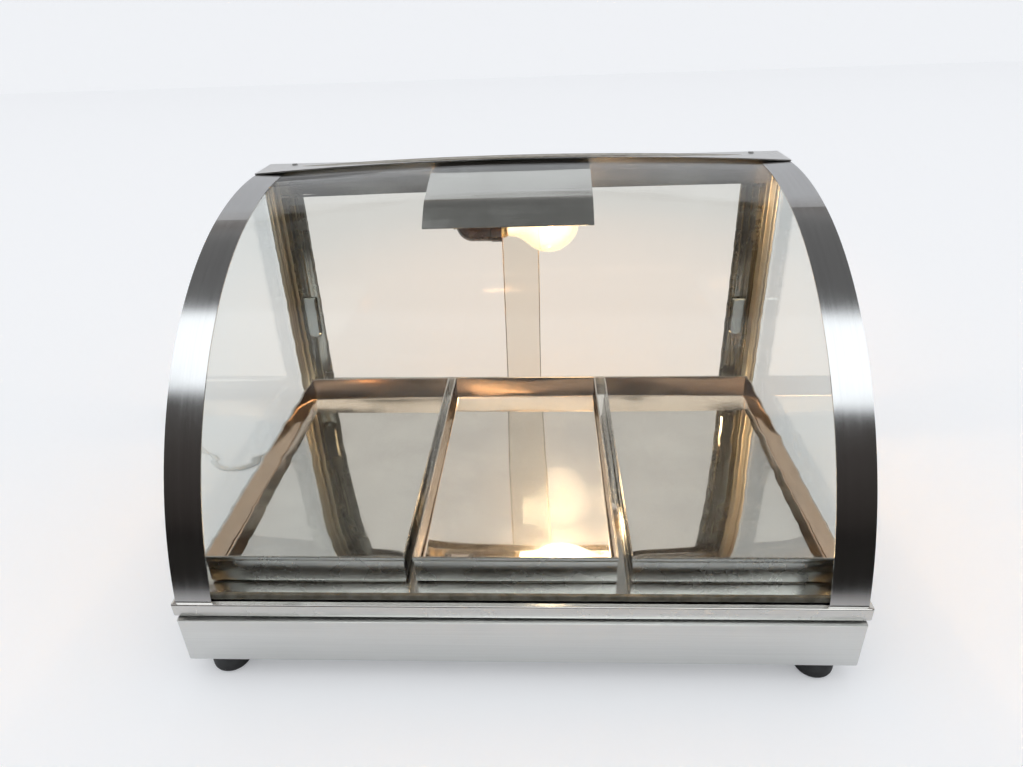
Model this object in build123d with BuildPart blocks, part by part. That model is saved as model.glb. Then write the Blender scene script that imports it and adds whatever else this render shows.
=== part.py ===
from build123d import *
import os
from math import asin, cos, pi, radians, sin

# Countertop display case: a heated base on four feet, a curved glass front between two
# stainless bands, glass ends, two sliding doors at the rear, a lamp and three loose trays.
# Millimetres. X runs left to right, -Y is the customer's side, Z is up from the table.
# Depths named d_... are measured back from the front edge of the deck.
os.makedirs("parts", exist_ok=True)

# Sheet, glass and fits
sheet = 1.0
thin_sheet = 0.8
glass = 3.0
fit = 0.3

# Base and deck
rim_width = 440.0
rim_depth = 308.0
rim_height = 9.0
rim_overhang = 3.0
rim_corner = 2.0
foot_height = 15.0
deck_z = 60.0
base_ahead = 3.2
base_ledge_drop = 10.8
base_flange = 12.0
lip_height = 9.0

# Rear controls, which reach furthest back
knob_diameter = 27.0
knob_length = 17.2
knob_gap = 1.0
rear_reach = knob_gap + knob_length - rim_overhang
front_y = -(rim_depth + rear_reach - base_ahead) / 2

# Feet
foot_diameter = 25.0
foot_from_end = 22.6
foot_inset = 13.0
foot_round = 3.0
foot_recess_diameter = 10.0
foot_recess_depth = 5.0
screw_diameter = 4.0
screw_head_diameter = 7.6
screw_head_height = 2.6
screw_hole = 4.6
nut_width = 7.0
nut_height = 3.2

# Curved bands: a low arc, then a flatter top arc that ends level ahead of the rear posts
band_setback = 2.3
band_lean = 10.3
low_radius = 256.0
low_end_angle = 73.0
level_run = 10.4
band_width = 23.6
band_side_depth = 12.0

# Glazing and seals
pane_gap = 0.3
seal_height = 3.0
seal_width = 2.6

# Rear frame and doors
case_setback = 2.0
door_pitch = 8.0
door_clearance = 0.5
post_return = 9.0
pane_slot_lip = 10.0
header_drop = 23.1
header_fin_drop = 18.0
sill_height = 8.0
sill_fin_height = 4.0
sill_rear_height = 2.0
stile_width = 20.5
door_overlap_left = 15.8
door_overlap_right = -17.2
door_top_gap = 9.6
pull_width = 12.4
pull_height = 37.0
pull_bulge = 3.4
pull_wall = 0.8
pull_rim = 1.5
pull_low_z = {"left": 115.5, "right": 109.0}
pull_from_stile = 3.1

# Top plate, whose front edge is bowed up in the middle
top_plate_overhang = 0.8
top_plate_depth = 38.0
top_plate_bow = 7.0
top_plate_lip = 12.0
top_screw_inset = 23.8
top_screw_from_rear = 6.0
top_screw_head = 4.6
top_screw_height = 1.0

# Lamp, holder and shade
lamp_ahead_of_bend = 22.0
lamp_under_shade = 34.0
bulb_diameter = 50.0
bulb_tip_x = 49.5
bulb_neck_x = -9.0
bulb_wall = 0.8
cap_diameter = 26.4
cap_length = 26.0
holder_diameter = 32.0
holder_mouth_x = -13.0
holder_length = 38.0
shade_left_x = -70.0
shade_right_x = 58.0
shade_run = 75.0
shade_drop = 24.0
shade_lip = 12.0
shade_screw_spacing = 60.0
bracket_width = 14.0
bracket_sheet = 1.5
bracket_arm_drop = 15.0

# Trays, with the gaps left, between and right of the three, and before and behind them
tray_gaps = (11.45, 5.2, 7.9, 6.95)
tray_front_gap = 21.65
tray_rear_gap = 13.25
tray_height = 21.3
tray_corner = 3.0
tray_floor_round = 2.0
tray_hem_height = 3.5
tray_hem = 0.7

# Heater and controls inside the base
heater_diameter = 6.5
heater_z = 45.0
heater_runs = 4
heater_from_end = 52.0
heater_in_reflector = (20.0, 12.0)
reflector_from_end = 27.0
reflector_from_front = 53.2
reflector_to_block = 24.0
reflector_z = 28.0
bracket_spacing = 230.0
thermostat_x = 140.0
thermostat_z = 36.0
switch_x = 70.0
switch_z = 36.0
switch_width = 13.0
switch_height = 19.0
rocker_tilt = 8.0
sensor_length = 76.0
capillary_diameter = 1.8
clip_spacing = 50.0
block_x = -120.0
block_from_rear = 55.0
block_pitch = 12.0
wire_diameter = 2.2
lead_diameter = 3.0
gland_x = -60.0
gland_z = 32.0
gland_length = 22.0

# Mains cord, with its route on the table chosen by hand
cord_diameter = 4.5
cord_turn_gap = 0.6
coil_mean_radius = 27.0
coil_half_turns = 4
coil_rear = (-150.0, 228.0)
cord_sides = 8
cord_turned = 180 / cord_sides
cord_low = cord_diameter / 2
cord_tail_points = [
    (-60, 167, 32), (-60, 182, 32), (-62.5, 202, 23.5), (-75, 219, 10),
    (-97, 226.5, 2.5), (-122, 228, 2.25), (-145.5, 228, 2.25),
]
cord_lead_points = [
    (-154.5, 225.45, 7.35), (-171, 225.45, 7.35), (-192, 223.5, 3.4), (-212, 214, 2.25),
    (-229, 197.5, 2.25), (-240, 176.5, 2.25), (-248, 153, 2.25), (-255, 131, 2.25),
    (-259.5, 110, 2.25), (-261, 89, 2.25), (-276, 73.7, 2.25), (-297.8, 74.5, 2.25),
    (-312.5, 90.8, 2.25), (-326.5, 105.5, 2.25), (-341, 118.5, 2.25), (-354, 133, 2.25),
    (-364, 149, 2.25),
]
plug_length = 36.0
plug_width = 19.0
plug_thickness = 13.0
pin_spacing = 19.0
pin_diameter = 4.0
pin_length = 19.0

# Places that follow from the sizes above
base_width = rim_width - 2 * rim_overhang
base_front_y = front_y - base_ahead
base_upper_y = front_y + rim_overhang
base_rear_y = front_y + rim_depth - rim_overhang
base_depth = base_rear_y - base_front_y
base_centre_y = (base_front_y + base_rear_y) / 2
deck_centre_y = front_y + rim_depth / 2
case_side_x = base_width / 2
case_rear_y = front_y + rim_depth - case_setback
base_floor_z = foot_height + sheet

stile_thickness = glass + 2 * thin_sheet
outer_door_y = case_rear_y - sheet - door_clearance - stile_thickness / 2
inner_door_y = outer_door_y - door_pitch
front_flange_y = inner_door_y - stile_thickness / 2 - door_clearance - sheet
track_fin_y = (inner_door_y + outer_door_y) / 2
post_front_y = front_flange_y - pane_slot_lip

low_centre = (
    front_y + band_setback + low_radius * cos(radians(band_lean)),
    deck_z - low_radius * sin(radians(band_lean)),
)
post_lip_y = case_rear_y - top_plate_depth
top_centre_y = post_front_y - level_run
top_radius = low_radius + (top_centre_y - low_centre[0]) / cos(radians(low_end_angle))
top_centre = (top_centre_y, low_centre[1] - (top_radius - low_radius) * sin(radians(low_end_angle)))
case_top_z = top_centre[1] + top_radius

post_flange_x = case_side_x - post_return
pane_outer_x = case_side_x - sheet - pane_gap
pane_inner_x = pane_outer_x - glass
header_low_z = case_top_z - header_drop
door_low_z = deck_z + sheet + fit
door_top_z = case_top_z - sheet - door_top_gap
stile_outer_x = post_flange_x + 2.0
stile_inner_x = stile_outer_x - stile_width
pull_x = stile_inner_x + pull_from_stile + pull_width / 2

top_plate_width = base_width + 2 * top_plate_overhang
shade_top_z = case_top_z - sheet - pane_gap - glass - fit
shade_bend_y = top_centre_y
lamp_y = shade_bend_y - lamp_ahead_of_bend
lamp_z = shade_top_z - lamp_under_shade
bracket_arm_z = shade_top_z - bracket_arm_drop
block_y = base_rear_y - block_from_rear
reflector_low = base_front_y + reflector_from_front
reflector_high = block_y - reflector_to_block
reflector_width = base_width - 2 * reflector_from_end
heater_low_y = reflector_low + heater_in_reflector[0]
heater_high_y = reflector_high - heater_in_reflector[1]
heater_pitch = (heater_high_y - heater_low_y) / (heater_runs - 1)
heater_half_length = base_width / 2 - heater_from_end
heater_tail_x = -heater_half_length - 18


def finish_part(part, name):
    """Label a finished piece and write its STEP file."""
    part.label = name
    export_step(part, f"parts/{name}.step")


def band_point(angle, inset):
    """A point on the band's curve, moved in from its outside, as (y, z)."""
    centre, radius = (low_centre, low_radius) if angle <= low_end_angle else (top_centre, top_radius)
    reach = radius - inset
    return (centre[0] - reach * cos(radians(angle)), centre[1] + reach * sin(radians(angle)))


def under_band(inset, rear_y, mode=Mode.ADD):
    """Fill the space under the band's curve, back to rear_y and down past the deck."""
    start = band_lean - 5
    with BuildLine() as outline:
        low = ThreePointArc(
            band_point(start, inset), band_point((start + low_end_angle) / 2, inset),
            band_point(low_end_angle, inset))
        top = ThreePointArc(low @ 1, band_point((low_end_angle + 90) / 2, inset), band_point(90, inset))
        level = Line(top @ 1, (rear_y, case_top_z - inset))
        back = Line(level @ 1, (rear_y, (low @ 0).Y))
        Line(back @ 1, low @ 0)
    make_face(outline.edges(), mode=mode)


def keep_above(z):
    """Cut the active YZ sketch off below z."""
    with Locations((front_y + rim_depth / 2, z)):
        Rectangle(2 * rim_depth, 2 * case_top_z, align=(Align.CENTER, Align.MIN), mode=Mode.INTERSECT)


def block(x, y, z, mode=Mode.ADD):
    """A box given by its low and high X, Y and Z."""
    with Locations(((x[0] + x[1]) / 2, (y[0] + y[1]) / 2, (z[0] + z[1]) / 2)):
        Box(x[1] - x[0], y[1] - y[0], z[1] - z[0], mode=mode)


def wire(points, diameter, bend, sides=6):
    """A wire of a few flat sides along straight runs, with each corner cut across by a short run."""
    route = [Vector(*points[0])]
    for before, corner, after in zip(points, points[1:], points[2:]):
        corner = Vector(*corner)
        for end in (before, after):
            run = Vector(*end) - corner
            route.append(corner + run.normalized() * min(bend, run.length * 0.45))
    route.append(Vector(*points[-1]))
    with BuildLine() as path:
        Polyline(*route)
    with BuildSketch(Plane(origin=path.line @ 0, z_dir=path.line % 0)) as section:
        RegularPolygon(diameter / 2, sides)
    sweep(sections=section.sketch, path=path.line, transition=Transition.RIGHT)


# Base: feet, floor, shell and deck
foot_places = [
    (x, y)
    for x in (foot_from_end - base_width / 2, base_width / 2 - foot_from_end)
    for y in (base_front_y + foot_inset, base_rear_y - foot_inset)
]

with BuildPart() as rubber_feet:
    with BuildSketch():
        with Locations(*foot_places):
            Circle(foot_diameter / 2)
    extrude(amount=foot_height)
    chamfer(rubber_feet.faces().group_by(Axis.Z)[0].edges(), foot_round, foot_round * 0.6)
    with BuildSketch():
        with Locations(*foot_places):
            RegularPolygon(foot_recess_diameter / 2, 6)
    extrude(amount=foot_recess_depth, mode=Mode.SUBTRACT)
    with BuildSketch():
        with Locations(*foot_places):
            RegularPolygon(screw_hole / 2, 6)
    extrude(amount=foot_height, mode=Mode.SUBTRACT)
finish_part(rubber_feet.part, "rubber_feet")

with BuildPart() as foot_screws:
    head_z = foot_recess_depth - screw_head_height
    with BuildSketch(Plane.XY.offset(head_z)):
        with Locations(*foot_places):
            Circle(screw_head_diameter / 2)
    extrude(amount=screw_head_height)
    with BuildSketch(Plane.XY.offset(foot_recess_depth)):
        with Locations(*foot_places):
            RegularPolygon(screw_diameter / 2, 6)
    extrude(amount=base_floor_z + nut_height + 1 - foot_recess_depth)
    with BuildSketch(Plane.XY.offset(head_z)):
        with Locations(*foot_places):
            Rectangle(screw_head_diameter * 0.7, 1.0)
    extrude(amount=screw_head_height / 2, mode=Mode.SUBTRACT)
finish_part(foot_screws.part, "foot_screws")

with BuildPart() as foot_nuts:
    with BuildSketch(Plane.XY.offset(base_floor_z)):
        with Locations(*foot_places):
            RegularPolygon(nut_width / 2, 6, major_radius=False)
            RegularPolygon(screw_diameter / 2, 6, mode=Mode.SUBTRACT)
    extrude(amount=nut_height)
finish_part(foot_nuts.part, "foot_nuts")

def side_screw_bores(across):
    """Six-sided bores for the side screws, right through the base."""
    with BuildSketch(Plane.YZ) as bores:
        with Locations(*[(y, side_screw_z) for y in side_screw_y]):
            RegularPolygon(across / 2, 6)
    extrude(bores.sketch, amount=rim_width, both=True, mode=Mode.SUBTRACT)


floor_width = base_width - 2 * (sheet + fit)
floor_depth = base_depth - 2 * (sheet + fit)
side_screw_z = foot_height + 6.0
side_screw_hole = 3.2
side_screw_y = [base_centre_y - base_depth / 3, base_centre_y + base_depth / 3]
vent_length = 40.0
vent_width = 4.0
vent_columns = 3
vent_rows = 3

with BuildPart() as bottom_plate:
    with BuildSketch(Plane.XY.offset(foot_height)):
        with Locations((0, base_centre_y)):
            RectangleRounded(floor_width, floor_depth, rim_corner)
    extrude(amount=lip_height)
    with BuildSketch(Plane.XY.offset(base_floor_z)):
        with Locations((0, base_centre_y)):
            RectangleRounded(floor_width - 2 * sheet, floor_depth - 2 * sheet, rim_corner - sheet)
    extrude(amount=lip_height, mode=Mode.SUBTRACT)
    with BuildSketch(Plane.XY.offset(foot_height)):
        with Locations(*foot_places):
            RegularPolygon(screw_hole / 2, 6)
        with Locations((0, base_centre_y)):
            with GridLocations(base_width / 4, 4 * vent_width, vent_columns, vent_rows):
                Rectangle(vent_length, vent_width)
    extrude(amount=sheet, mode=Mode.SUBTRACT)
    side_screw_bores(side_screw_hole)
finish_part(bottom_plate.part, "bottom_plate")

# The lamp's lead comes up through the deck inside the left post
riser_x = -(post_flange_x + 5.6)
riser_y = (inner_door_y + outer_door_y) / 2
riser_hole = 5.0

shell_top_z = deck_z - sheet
ledge_z = deck_z - base_ledge_drop


def shell_box(inset, front_y, low_z, high_z, mode=Mode.ADD):
    """A rounded box of the base's width and rear end, moved in by inset, from a given front."""
    depth = base_rear_y - front_y - 2 * inset
    with BuildSketch(Plane.XY.offset(low_z)) as outline:
        with Locations((0, front_y + inset + depth / 2)):
            RectangleRounded(base_width - 2 * inset, depth, rim_corner - inset)
    extrude(outline.sketch, amount=high_z - low_z, mode=mode)


with BuildPart() as base_shell:
    shell_box(0, base_front_y, foot_height, ledge_z)
    shell_box(0, base_upper_y, foot_height, shell_top_z)
    shell_box(sheet, base_front_y, foot_height, ledge_z - sheet, mode=Mode.SUBTRACT)
    shell_box(sheet, base_upper_y, foot_height, shell_top_z - sheet, mode=Mode.SUBTRACT)
    with BuildSketch(Plane.XY.offset(shell_top_z - sheet)):
        with Locations((0, (base_upper_y + base_rear_y) / 2)):
            RectangleRounded(base_width - 2 * base_flange, base_rear_y - base_upper_y - 2 * base_flange, 3)
    extrude(amount=sheet, mode=Mode.SUBTRACT)
    side_screw_bores(side_screw_hole)
    with Locations((riser_x, riser_y, shell_top_z)):
        Cylinder(riser_hole / 2, 4 * sheet, mode=Mode.SUBTRACT)
    rear_wall = Plane(origin=(0, base_rear_y, 0), x_dir=(1, 0, 0), z_dir=(0, -1, 0))
    with BuildSketch(rear_wall):
        with Locations((switch_x, switch_z)):
            Rectangle(switch_width + 2 * fit, switch_height + 2 * fit)
        with Locations((thermostat_x, thermostat_z)):
            Circle(5)
        with Locations((gland_x, gland_z)):
            Circle(4 + fit)
    extrude(amount=sheet, mode=Mode.SUBTRACT)
finish_part(base_shell.part, "base_shell")

side_screw_head = 5.6
side_screw_height = 1.8
side_screw_length = 5.0
with BuildPart() as side_screws:
    for side in (-1, 1):
        for y in side_screw_y:
            out_x = side * base_width / 2
            with BuildSketch(Plane.YZ.offset(out_x)):
                with Locations((y, side_screw_z)):
                    RegularPolygon(side_screw_head / 2, 6)
            extrude(amount=side * side_screw_height)
            with BuildSketch(Plane.YZ.offset(out_x)):
                with Locations((y, side_screw_z)):
                    RegularPolygon(side_screw_hole / 2, 6)
            extrude(amount=-side * side_screw_length)
            with Locations((out_x + side * side_screw_height, y, side_screw_z)):
                Box(1.2, 0.8, side_screw_head * 2, mode=Mode.SUBTRACT)
finish_part(side_screws.part, "side_screws")

with BuildPart() as deck:
    with BuildSketch(Plane.XY.offset(deck_z - rim_height)):
        with Locations((0, deck_centre_y)):
            RectangleRounded(rim_width, rim_depth, rim_corner)
    extrude(amount=rim_height)
    with BuildSketch(Plane.XY.offset(deck_z - rim_height)):
        with Locations((0, deck_centre_y)):
            RectangleRounded(rim_width - 2 * sheet, rim_depth - 2 * sheet, rim_corner - sheet)
    extrude(amount=rim_height - sheet, mode=Mode.SUBTRACT)
    chamfer(deck.faces().sort_by(Axis.Z)[-1].edges(), sheet * 0.5)
    with Locations((riser_x, riser_y, deck_z)):
        Cylinder(riser_hole / 2, 4 * sheet, mode=Mode.SUBTRACT)
finish_part(deck.part, "deck")

# Heater, reflector and their brackets
def heater_route():
    """The heater's centre line: runs side by side, joined by half turns."""
    points = [(heater_tail_x, heater_low_y, heater_z)]
    for turn in range(heater_runs - 1):
        far = heater_half_length if turn % 2 == 0 else -heater_half_length
        y = heater_low_y + turn * heater_pitch
        points += [(far, y, heater_z), (far, y + heater_pitch, heater_z)]
    return points + [(heater_tail_x, heater_high_y, heater_z)]


with BuildPart() as heating_element:
    with BuildLine() as heater_line:
        FilletPolyline(*heater_route(), radius=heater_pitch / 2 - 0.5)
    with BuildSketch(Plane(origin=heater_line.line @ 0, z_dir=heater_line.line % 0)):
        RegularPolygon(heater_diameter / 2, 6)
    sweep(path=heater_line.line)
    for y in (heater_low_y, heater_high_y):
        with Locations((heater_tail_x - 5, y, heater_z)):
            Box(10, 2.6, 2.6)
finish_part(heating_element.part, "heating_element")

with BuildPart() as heat_reflector:
    block((-reflector_width / 2, reflector_width / 2), (reflector_low, reflector_high),
          (reflector_z - thin_sheet, reflector_z))
    for y in ((reflector_low, reflector_low + thin_sheet), (reflector_high - thin_sheet, reflector_high)):
        block((-reflector_width / 2, reflector_width / 2), y, (base_floor_z, reflector_z))
    foot_y = ((reflector_low - 8, reflector_low), (reflector_high, reflector_high + 8))
    for y in foot_y:
        block((-reflector_width / 2, reflector_width / 2), y, (base_floor_z, base_floor_z + thin_sheet))
finish_part(heat_reflector.part, "heat_reflector")

bracket_top_z = heater_z + 7.0
with BuildPart() as heater_brackets:
    for x in (-bracket_spacing / 2, bracket_spacing / 2):
        block((x - 0.6, x + 0.6), (reflector_low + 6, reflector_high - 6), (reflector_z, bracket_top_z))
        block((x, x + 9), (reflector_low + 6, reflector_high - 6), (reflector_z, reflector_z + 1.2))
        for run in range(heater_runs):
            y = heater_low_y + run * heater_pitch
            with Locations((x, y, heater_z)):
                Box(4, heater_diameter, heater_diameter, mode=Mode.SUBTRACT)
finish_part(heater_brackets.part, "heater_brackets")

# Thermostat: body, shaft, bulb and knob
rear_inner_y = base_rear_y - sheet
thermostat_depth = 22.0
thermostat_height = 23.0
shaft_diameter = 6.0
with BuildPart() as thermostat_body:
    block((thermostat_x - 17, thermostat_x + 17), (rear_inner_y - thermostat_depth, rear_inner_y),
          (thermostat_z - thermostat_height / 2, thermostat_z + thermostat_height / 2))
    chamfer(thermostat_body.edges().filter_by(Axis.Y), 3)
    with BuildSketch(Plane(origin=(thermostat_x, rear_inner_y, thermostat_z), z_dir=(0, 1, 0))):
        Circle(shaft_diameter / 2)
    extrude(amount=sheet + knob_gap + knob_length * 0.7)
    for x in (-8, 8):
        block((thermostat_x + x - 3.2, thermostat_x + x + 3.2),
              (rear_inner_y - thermostat_depth - 8, rear_inner_y - thermostat_depth),
              (thermostat_z - 8.4, thermostat_z - 7.6))
finish_part(thermostat_body.part, "thermostat_body")

sensor_diameter = 6.0
sensor_z = deck_z - sheet - sensor_diameter / 2 - fit
sensor_y = (heater_low_y + heater_high_y) / 2
sensor_end_x = thermostat_x - 2
capillary_x = thermostat_x + 30
capillary_y = rear_inner_y - 10
with BuildPart() as sensing_bulb:
    with Locations((sensor_end_x - sensor_length / 2, sensor_y, sensor_z)):
        Cylinder(sensor_diameter / 2, sensor_length, rotation=(0, 90, 0))
    wire([(sensor_end_x, sensor_y, sensor_z), (capillary_x, sensor_y, sensor_z),
          (capillary_x, capillary_y, sensor_z), (thermostat_x, capillary_y, sensor_z),
          (thermostat_x, capillary_y, thermostat_z + thermostat_height / 2)], capillary_diameter, 3.0)
finish_part(sensing_bulb.part, "sensing_bulb")

clip_middle_x = sensor_end_x - sensor_length / 2
with BuildPart() as sensor_clips:
    for x in (clip_middle_x - clip_spacing / 2, clip_middle_x + clip_spacing / 2):
        block((x - 4, x + 4), (sensor_y - 8, sensor_y + 4), (sensor_z - 4, deck_z - sheet))
        with Locations((x, sensor_y, sensor_z)):
            Box(12, sensor_diameter, sensor_diameter, mode=Mode.SUBTRACT)
        block((x - 5, x + 5), (sensor_y - 9, sensor_y - 3.9), (sensor_z - 5, deck_z - sheet - 0.8),
              mode=Mode.SUBTRACT)
finish_part(sensor_clips.part, "sensor_clips")

knob_face_y = base_rear_y + knob_gap
knob_sides = 12
with BuildPart() as thermostat_knob:
    with BuildSketch(Plane(origin=(thermostat_x, knob_face_y, thermostat_z), z_dir=(0, 1, 0))):
        RegularPolygon(knob_diameter / 2, knob_sides)
    extrude(amount=knob_length, taper=4)
    far_edges = thermostat_knob.faces().sort_by(Axis.Y)[-1].edges()
    chamfer(far_edges, 1.4)
    with BuildSketch(Plane(origin=(thermostat_x, knob_face_y + knob_length, thermostat_z), z_dir=(0, 1, 0))):
        with Locations((0, 6.5)):
            Rectangle(1.4, 9)
    extrude(amount=-0.8, mode=Mode.SUBTRACT)
    with BuildSketch(Plane(origin=(thermostat_x, knob_face_y, thermostat_z), z_dir=(0, 1, 0))):
        Circle(shaft_diameter / 2 + 0.05)
    extrude(amount=knob_length * 0.72, mode=Mode.SUBTRACT)
finish_part(thermostat_knob.part, "thermostat_knob")

# Lamp switch: a housing with a bezel, and a rocker that tips on a pin
bezel_proud = 2.0
switch_depth = 18.0
rocker_width = switch_width - 4.0
rocker_height = switch_height - 5.0
rocker_gap = 0.35
rocker_pivot_y = base_rear_y - 1.5
with BuildPart() as switch_body:
    block((switch_x - switch_width / 2, switch_x + switch_width / 2),
          (base_rear_y - switch_depth, base_rear_y),
          (switch_z - switch_height / 2, switch_z + switch_height / 2))
    block((switch_x - switch_width / 2 - 1.2, switch_x + switch_width / 2 + 1.2),
          (base_rear_y, base_rear_y + bezel_proud),
          (switch_z - switch_height / 2 - 1.2, switch_z + switch_height / 2 + 1.2))
    fillet(switch_body.faces().sort_by(Axis.Y)[-1].edges(), 0.8)
    block((switch_x - rocker_width / 2 - rocker_gap, switch_x + rocker_width / 2 + rocker_gap),
          (base_rear_y - 9, base_rear_y + bezel_proud + 1),
          (switch_z - rocker_height / 2 - 0.6, switch_z + rocker_height / 2 + 0.6), mode=Mode.SUBTRACT)
    for z in (-5.5, 5.5):
        block((switch_x - 2.4, switch_x + 2.4), (base_rear_y - switch_depth - 8, base_rear_y - switch_depth),
              (switch_z + z - 0.4, switch_z + z + 0.4))
finish_part(switch_body.part, "switch_body")

with BuildPart() as switch_rocker:
    rocker_plane = Plane(origin=(switch_x, rocker_pivot_y, switch_z), x_dir=(0, 1, 0), z_dir=(1, 0, 0))
    with BuildSketch(rocker_plane):
        with BuildLine():
            top = Line((-3.5, 4.2), (3.4, rocker_height / 2 - 0.4))
            dip = ThreePointArc(top @ 1, (2.2, 0), (3.4, -rocker_height / 2 + 0.4))
            low = Line(dip @ 1, (-3.5, -4.2))
            Line(low @ 1, top @ 0)
        make_face()
    extrude(amount=rocker_width / 2, both=True)
    rocker_turned = switch_rocker.part.rotate(
        Axis((switch_x, rocker_pivot_y, switch_z), (1, 0, 0)), rocker_tilt)
finish_part(rocker_turned, "switch_rocker")

# Terminal block on the floor of the base
pole_x = [block_x + step * block_pitch for step in (-1, 0, 1)]
pole_z = base_floor_z + 8.0
with BuildPart() as terminal_block:
    block((block_x - 19, block_x + 19), (block_y, block_y + 18), (base_floor_z, base_floor_z + 5))
    for x in pole_x:
        block((x - 4.6, x + 4.6), (block_y, block_y + 18), (base_floor_z + 5, base_floor_z + 15))
        block((x - 1.8, x + 1.8), (block_y + 2, block_y + 16), (base_floor_z + 13.5, base_floor_z + 15),
              mode=Mode.SUBTRACT)
finish_part(terminal_block.part, "terminal_block")

# Wires inside the base, each from terminal to terminal
gland_inner_y = rear_inner_y - 10
heater_end_x = heater_tail_x - 10
tab_y = rear_inner_y - thermostat_depth - 8
switch_tab_y = base_rear_y - switch_depth - 8
block_rear_y = block_y + 18
with BuildPart() as internal_leads:
    wire([(gland_x - 1.3, gland_inner_y, gland_z), (gland_x - 1.3, gland_inner_y - 8, gland_z),
          (pole_x[1], gland_inner_y - 8, gland_z), (pole_x[1], gland_inner_y - 8, pole_z),
          (pole_x[1], block_rear_y, pole_z)], wire_diameter, 3.0)
    wire([(gland_x + 1.3, gland_inner_y, gland_z), (gland_x + 1.3, gland_inner_y - 14, gland_z),
          (gland_x + 1.3, gland_inner_y - 14, pole_z), (pole_x[2], gland_inner_y - 14, pole_z),
          (pole_x[2], block_rear_y, pole_z)], wire_diameter, 2.4)
    wire([(pole_x[2], block_y, pole_z), (pole_x[2], block_y - 10, pole_z),
          (thermostat_x - 8, block_y - 10, pole_z), (thermostat_x - 8, block_y - 10, thermostat_z - 8),
          (thermostat_x - 8, tab_y, thermostat_z - 8)], wire_diameter, 1.8)
    wire([(thermostat_x + 8, tab_y, thermostat_z - 8), (thermostat_x + 8, block_y - 16, thermostat_z - 8),
          (thermostat_x + 8, block_y - 16, pole_z - 3.4), (heater_end_x - 4, block_y - 16, pole_z - 3.4),
          (heater_end_x - 4, block_y - 16, heater_z), (heater_end_x - 4, heater_high_y, heater_z),
          (heater_end_x, heater_high_y, heater_z)], wire_diameter, 1.8)
    wire([(pole_x[0], block_y, pole_z), (pole_x[0], block_y - 6, pole_z),
          (heater_end_x - 8, block_y - 6, pole_z), (heater_end_x - 8, block_y - 6, heater_z),
          (heater_end_x - 8, heater_low_y, heater_z), (heater_end_x, heater_low_y, heater_z)],
         wire_diameter, 2.4)
    wire([(pole_x[1], block_y, pole_z), (pole_x[1], block_y - 6, pole_z),
          (pole_x[1], block_y - 6, switch_z - 5.5), (switch_x, block_y - 6, switch_z - 5.5),
          (switch_x, switch_tab_y, switch_z - 5.5)], wire_diameter, 1.8)
finish_part(internal_leads.part, "internal_leads")

# Cord gland: nut inside, collar and tapered sleeve outside
with BuildPart() as cord_gland:
    wall = Plane(origin=(gland_x, base_rear_y, gland_z), z_dir=(0, 1, 0))
    with BuildSketch(wall):
        Circle(7)
    extrude(amount=3)
    with BuildSketch(wall.offset(3)):
        Circle(4.6)
    extrude(amount=gland_length - 3, taper=2.6)
    with BuildSketch(wall.offset(-10 - sheet)):
        Circle(4)
    extrude(amount=10 + sheet)
    with BuildSketch(wall.offset(-4 - sheet)):
        RegularPolygon(6.5, 6)
    extrude(amount=4)
finish_part(cord_gland.part, "cord_gland")

# Curved bands: a face strip with a side flange, folded from one sheet
for side, name in ((-1, "left_band"), (1, "right_band")):
    outer_x = side * case_side_x
    with BuildPart() as band:
        for inset, width in ((sheet, band_width), (band_side_depth, sheet)):
            with BuildSketch(Plane.YZ.offset(outer_x)):
                under_band(0, post_front_y)
                under_band(inset, post_front_y + 1, mode=Mode.SUBTRACT)
                keep_above(deck_z)
            extrude(amount=-side * width)
    finish_part(band.part, name)

# Glass: the curved front and the two ends
front_glass_outer = sheet + pane_gap
front_glass_inner = front_glass_outer + glass
with BuildPart() as front_glass:
    with BuildSketch(Plane.YZ.offset(-pane_outer_x)):
        under_band(front_glass_outer, post_front_y)
        under_band(front_glass_inner, post_front_y + 1, mode=Mode.SUBTRACT)
        keep_above(deck_z)
    extrude(amount=2 * pane_outer_x)
finish_part(front_glass.part, "front_glass")

for side, name in ((-1, "left_side_glass"), (1, "right_side_glass")):
    with BuildPart() as pane:
        with BuildSketch(Plane.YZ.offset(side * pane_outer_x)):
            under_band(front_glass_inner + pane_gap, front_flange_y - fit)
            keep_above(deck_z)
        extrude(amount=-side * glass)
    finish_part(pane.part, name)

# Clear sealant beads along the deck and behind the top edge of the front glass
with BuildPart() as front_seal:
    with BuildSketch(Plane.YZ.offset(-pane_inner_x)):
        under_band(front_glass_inner + fit, post_front_y)
        under_band(front_glass_inner + seal_width, post_front_y + 1, mode=Mode.SUBTRACT)
        keep_above(deck_z)
        with Locations((0, deck_z + seal_height)):
            Rectangle(2 * rim_depth, case_top_z, align=(Align.CENTER, Align.MIN), mode=Mode.SUBTRACT)
    extrude(amount=2 * pane_inner_x)
finish_part(front_seal.part, "front_seal")

side_seal_front_y = band_point(band_lean, front_glass_inner + seal_width)[0] + 2
for side, name in ((-1, "left_seal"), (1, "right_seal")):
    with BuildPart() as bead:
        with BuildSketch(Plane.XZ.offset(-side_seal_front_y)):
            with BuildLine():
                Polyline((side * pane_inner_x, deck_z), (side * (pane_inner_x - seal_width), deck_z),
                         (side * pane_inner_x, deck_z + seal_height), close=True)
            make_face()
        extrude(amount=-(post_lip_y - side_seal_front_y))
    finish_part(bead.part, name)

top_seal_low_z = shade_top_z + fit
with BuildPart() as top_seal:
    block((-post_flange_x, post_flange_x), (post_front_y, front_flange_y), (top_seal_low_z, case_top_z))
finish_part(top_seal.part, "top_seal")

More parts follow.
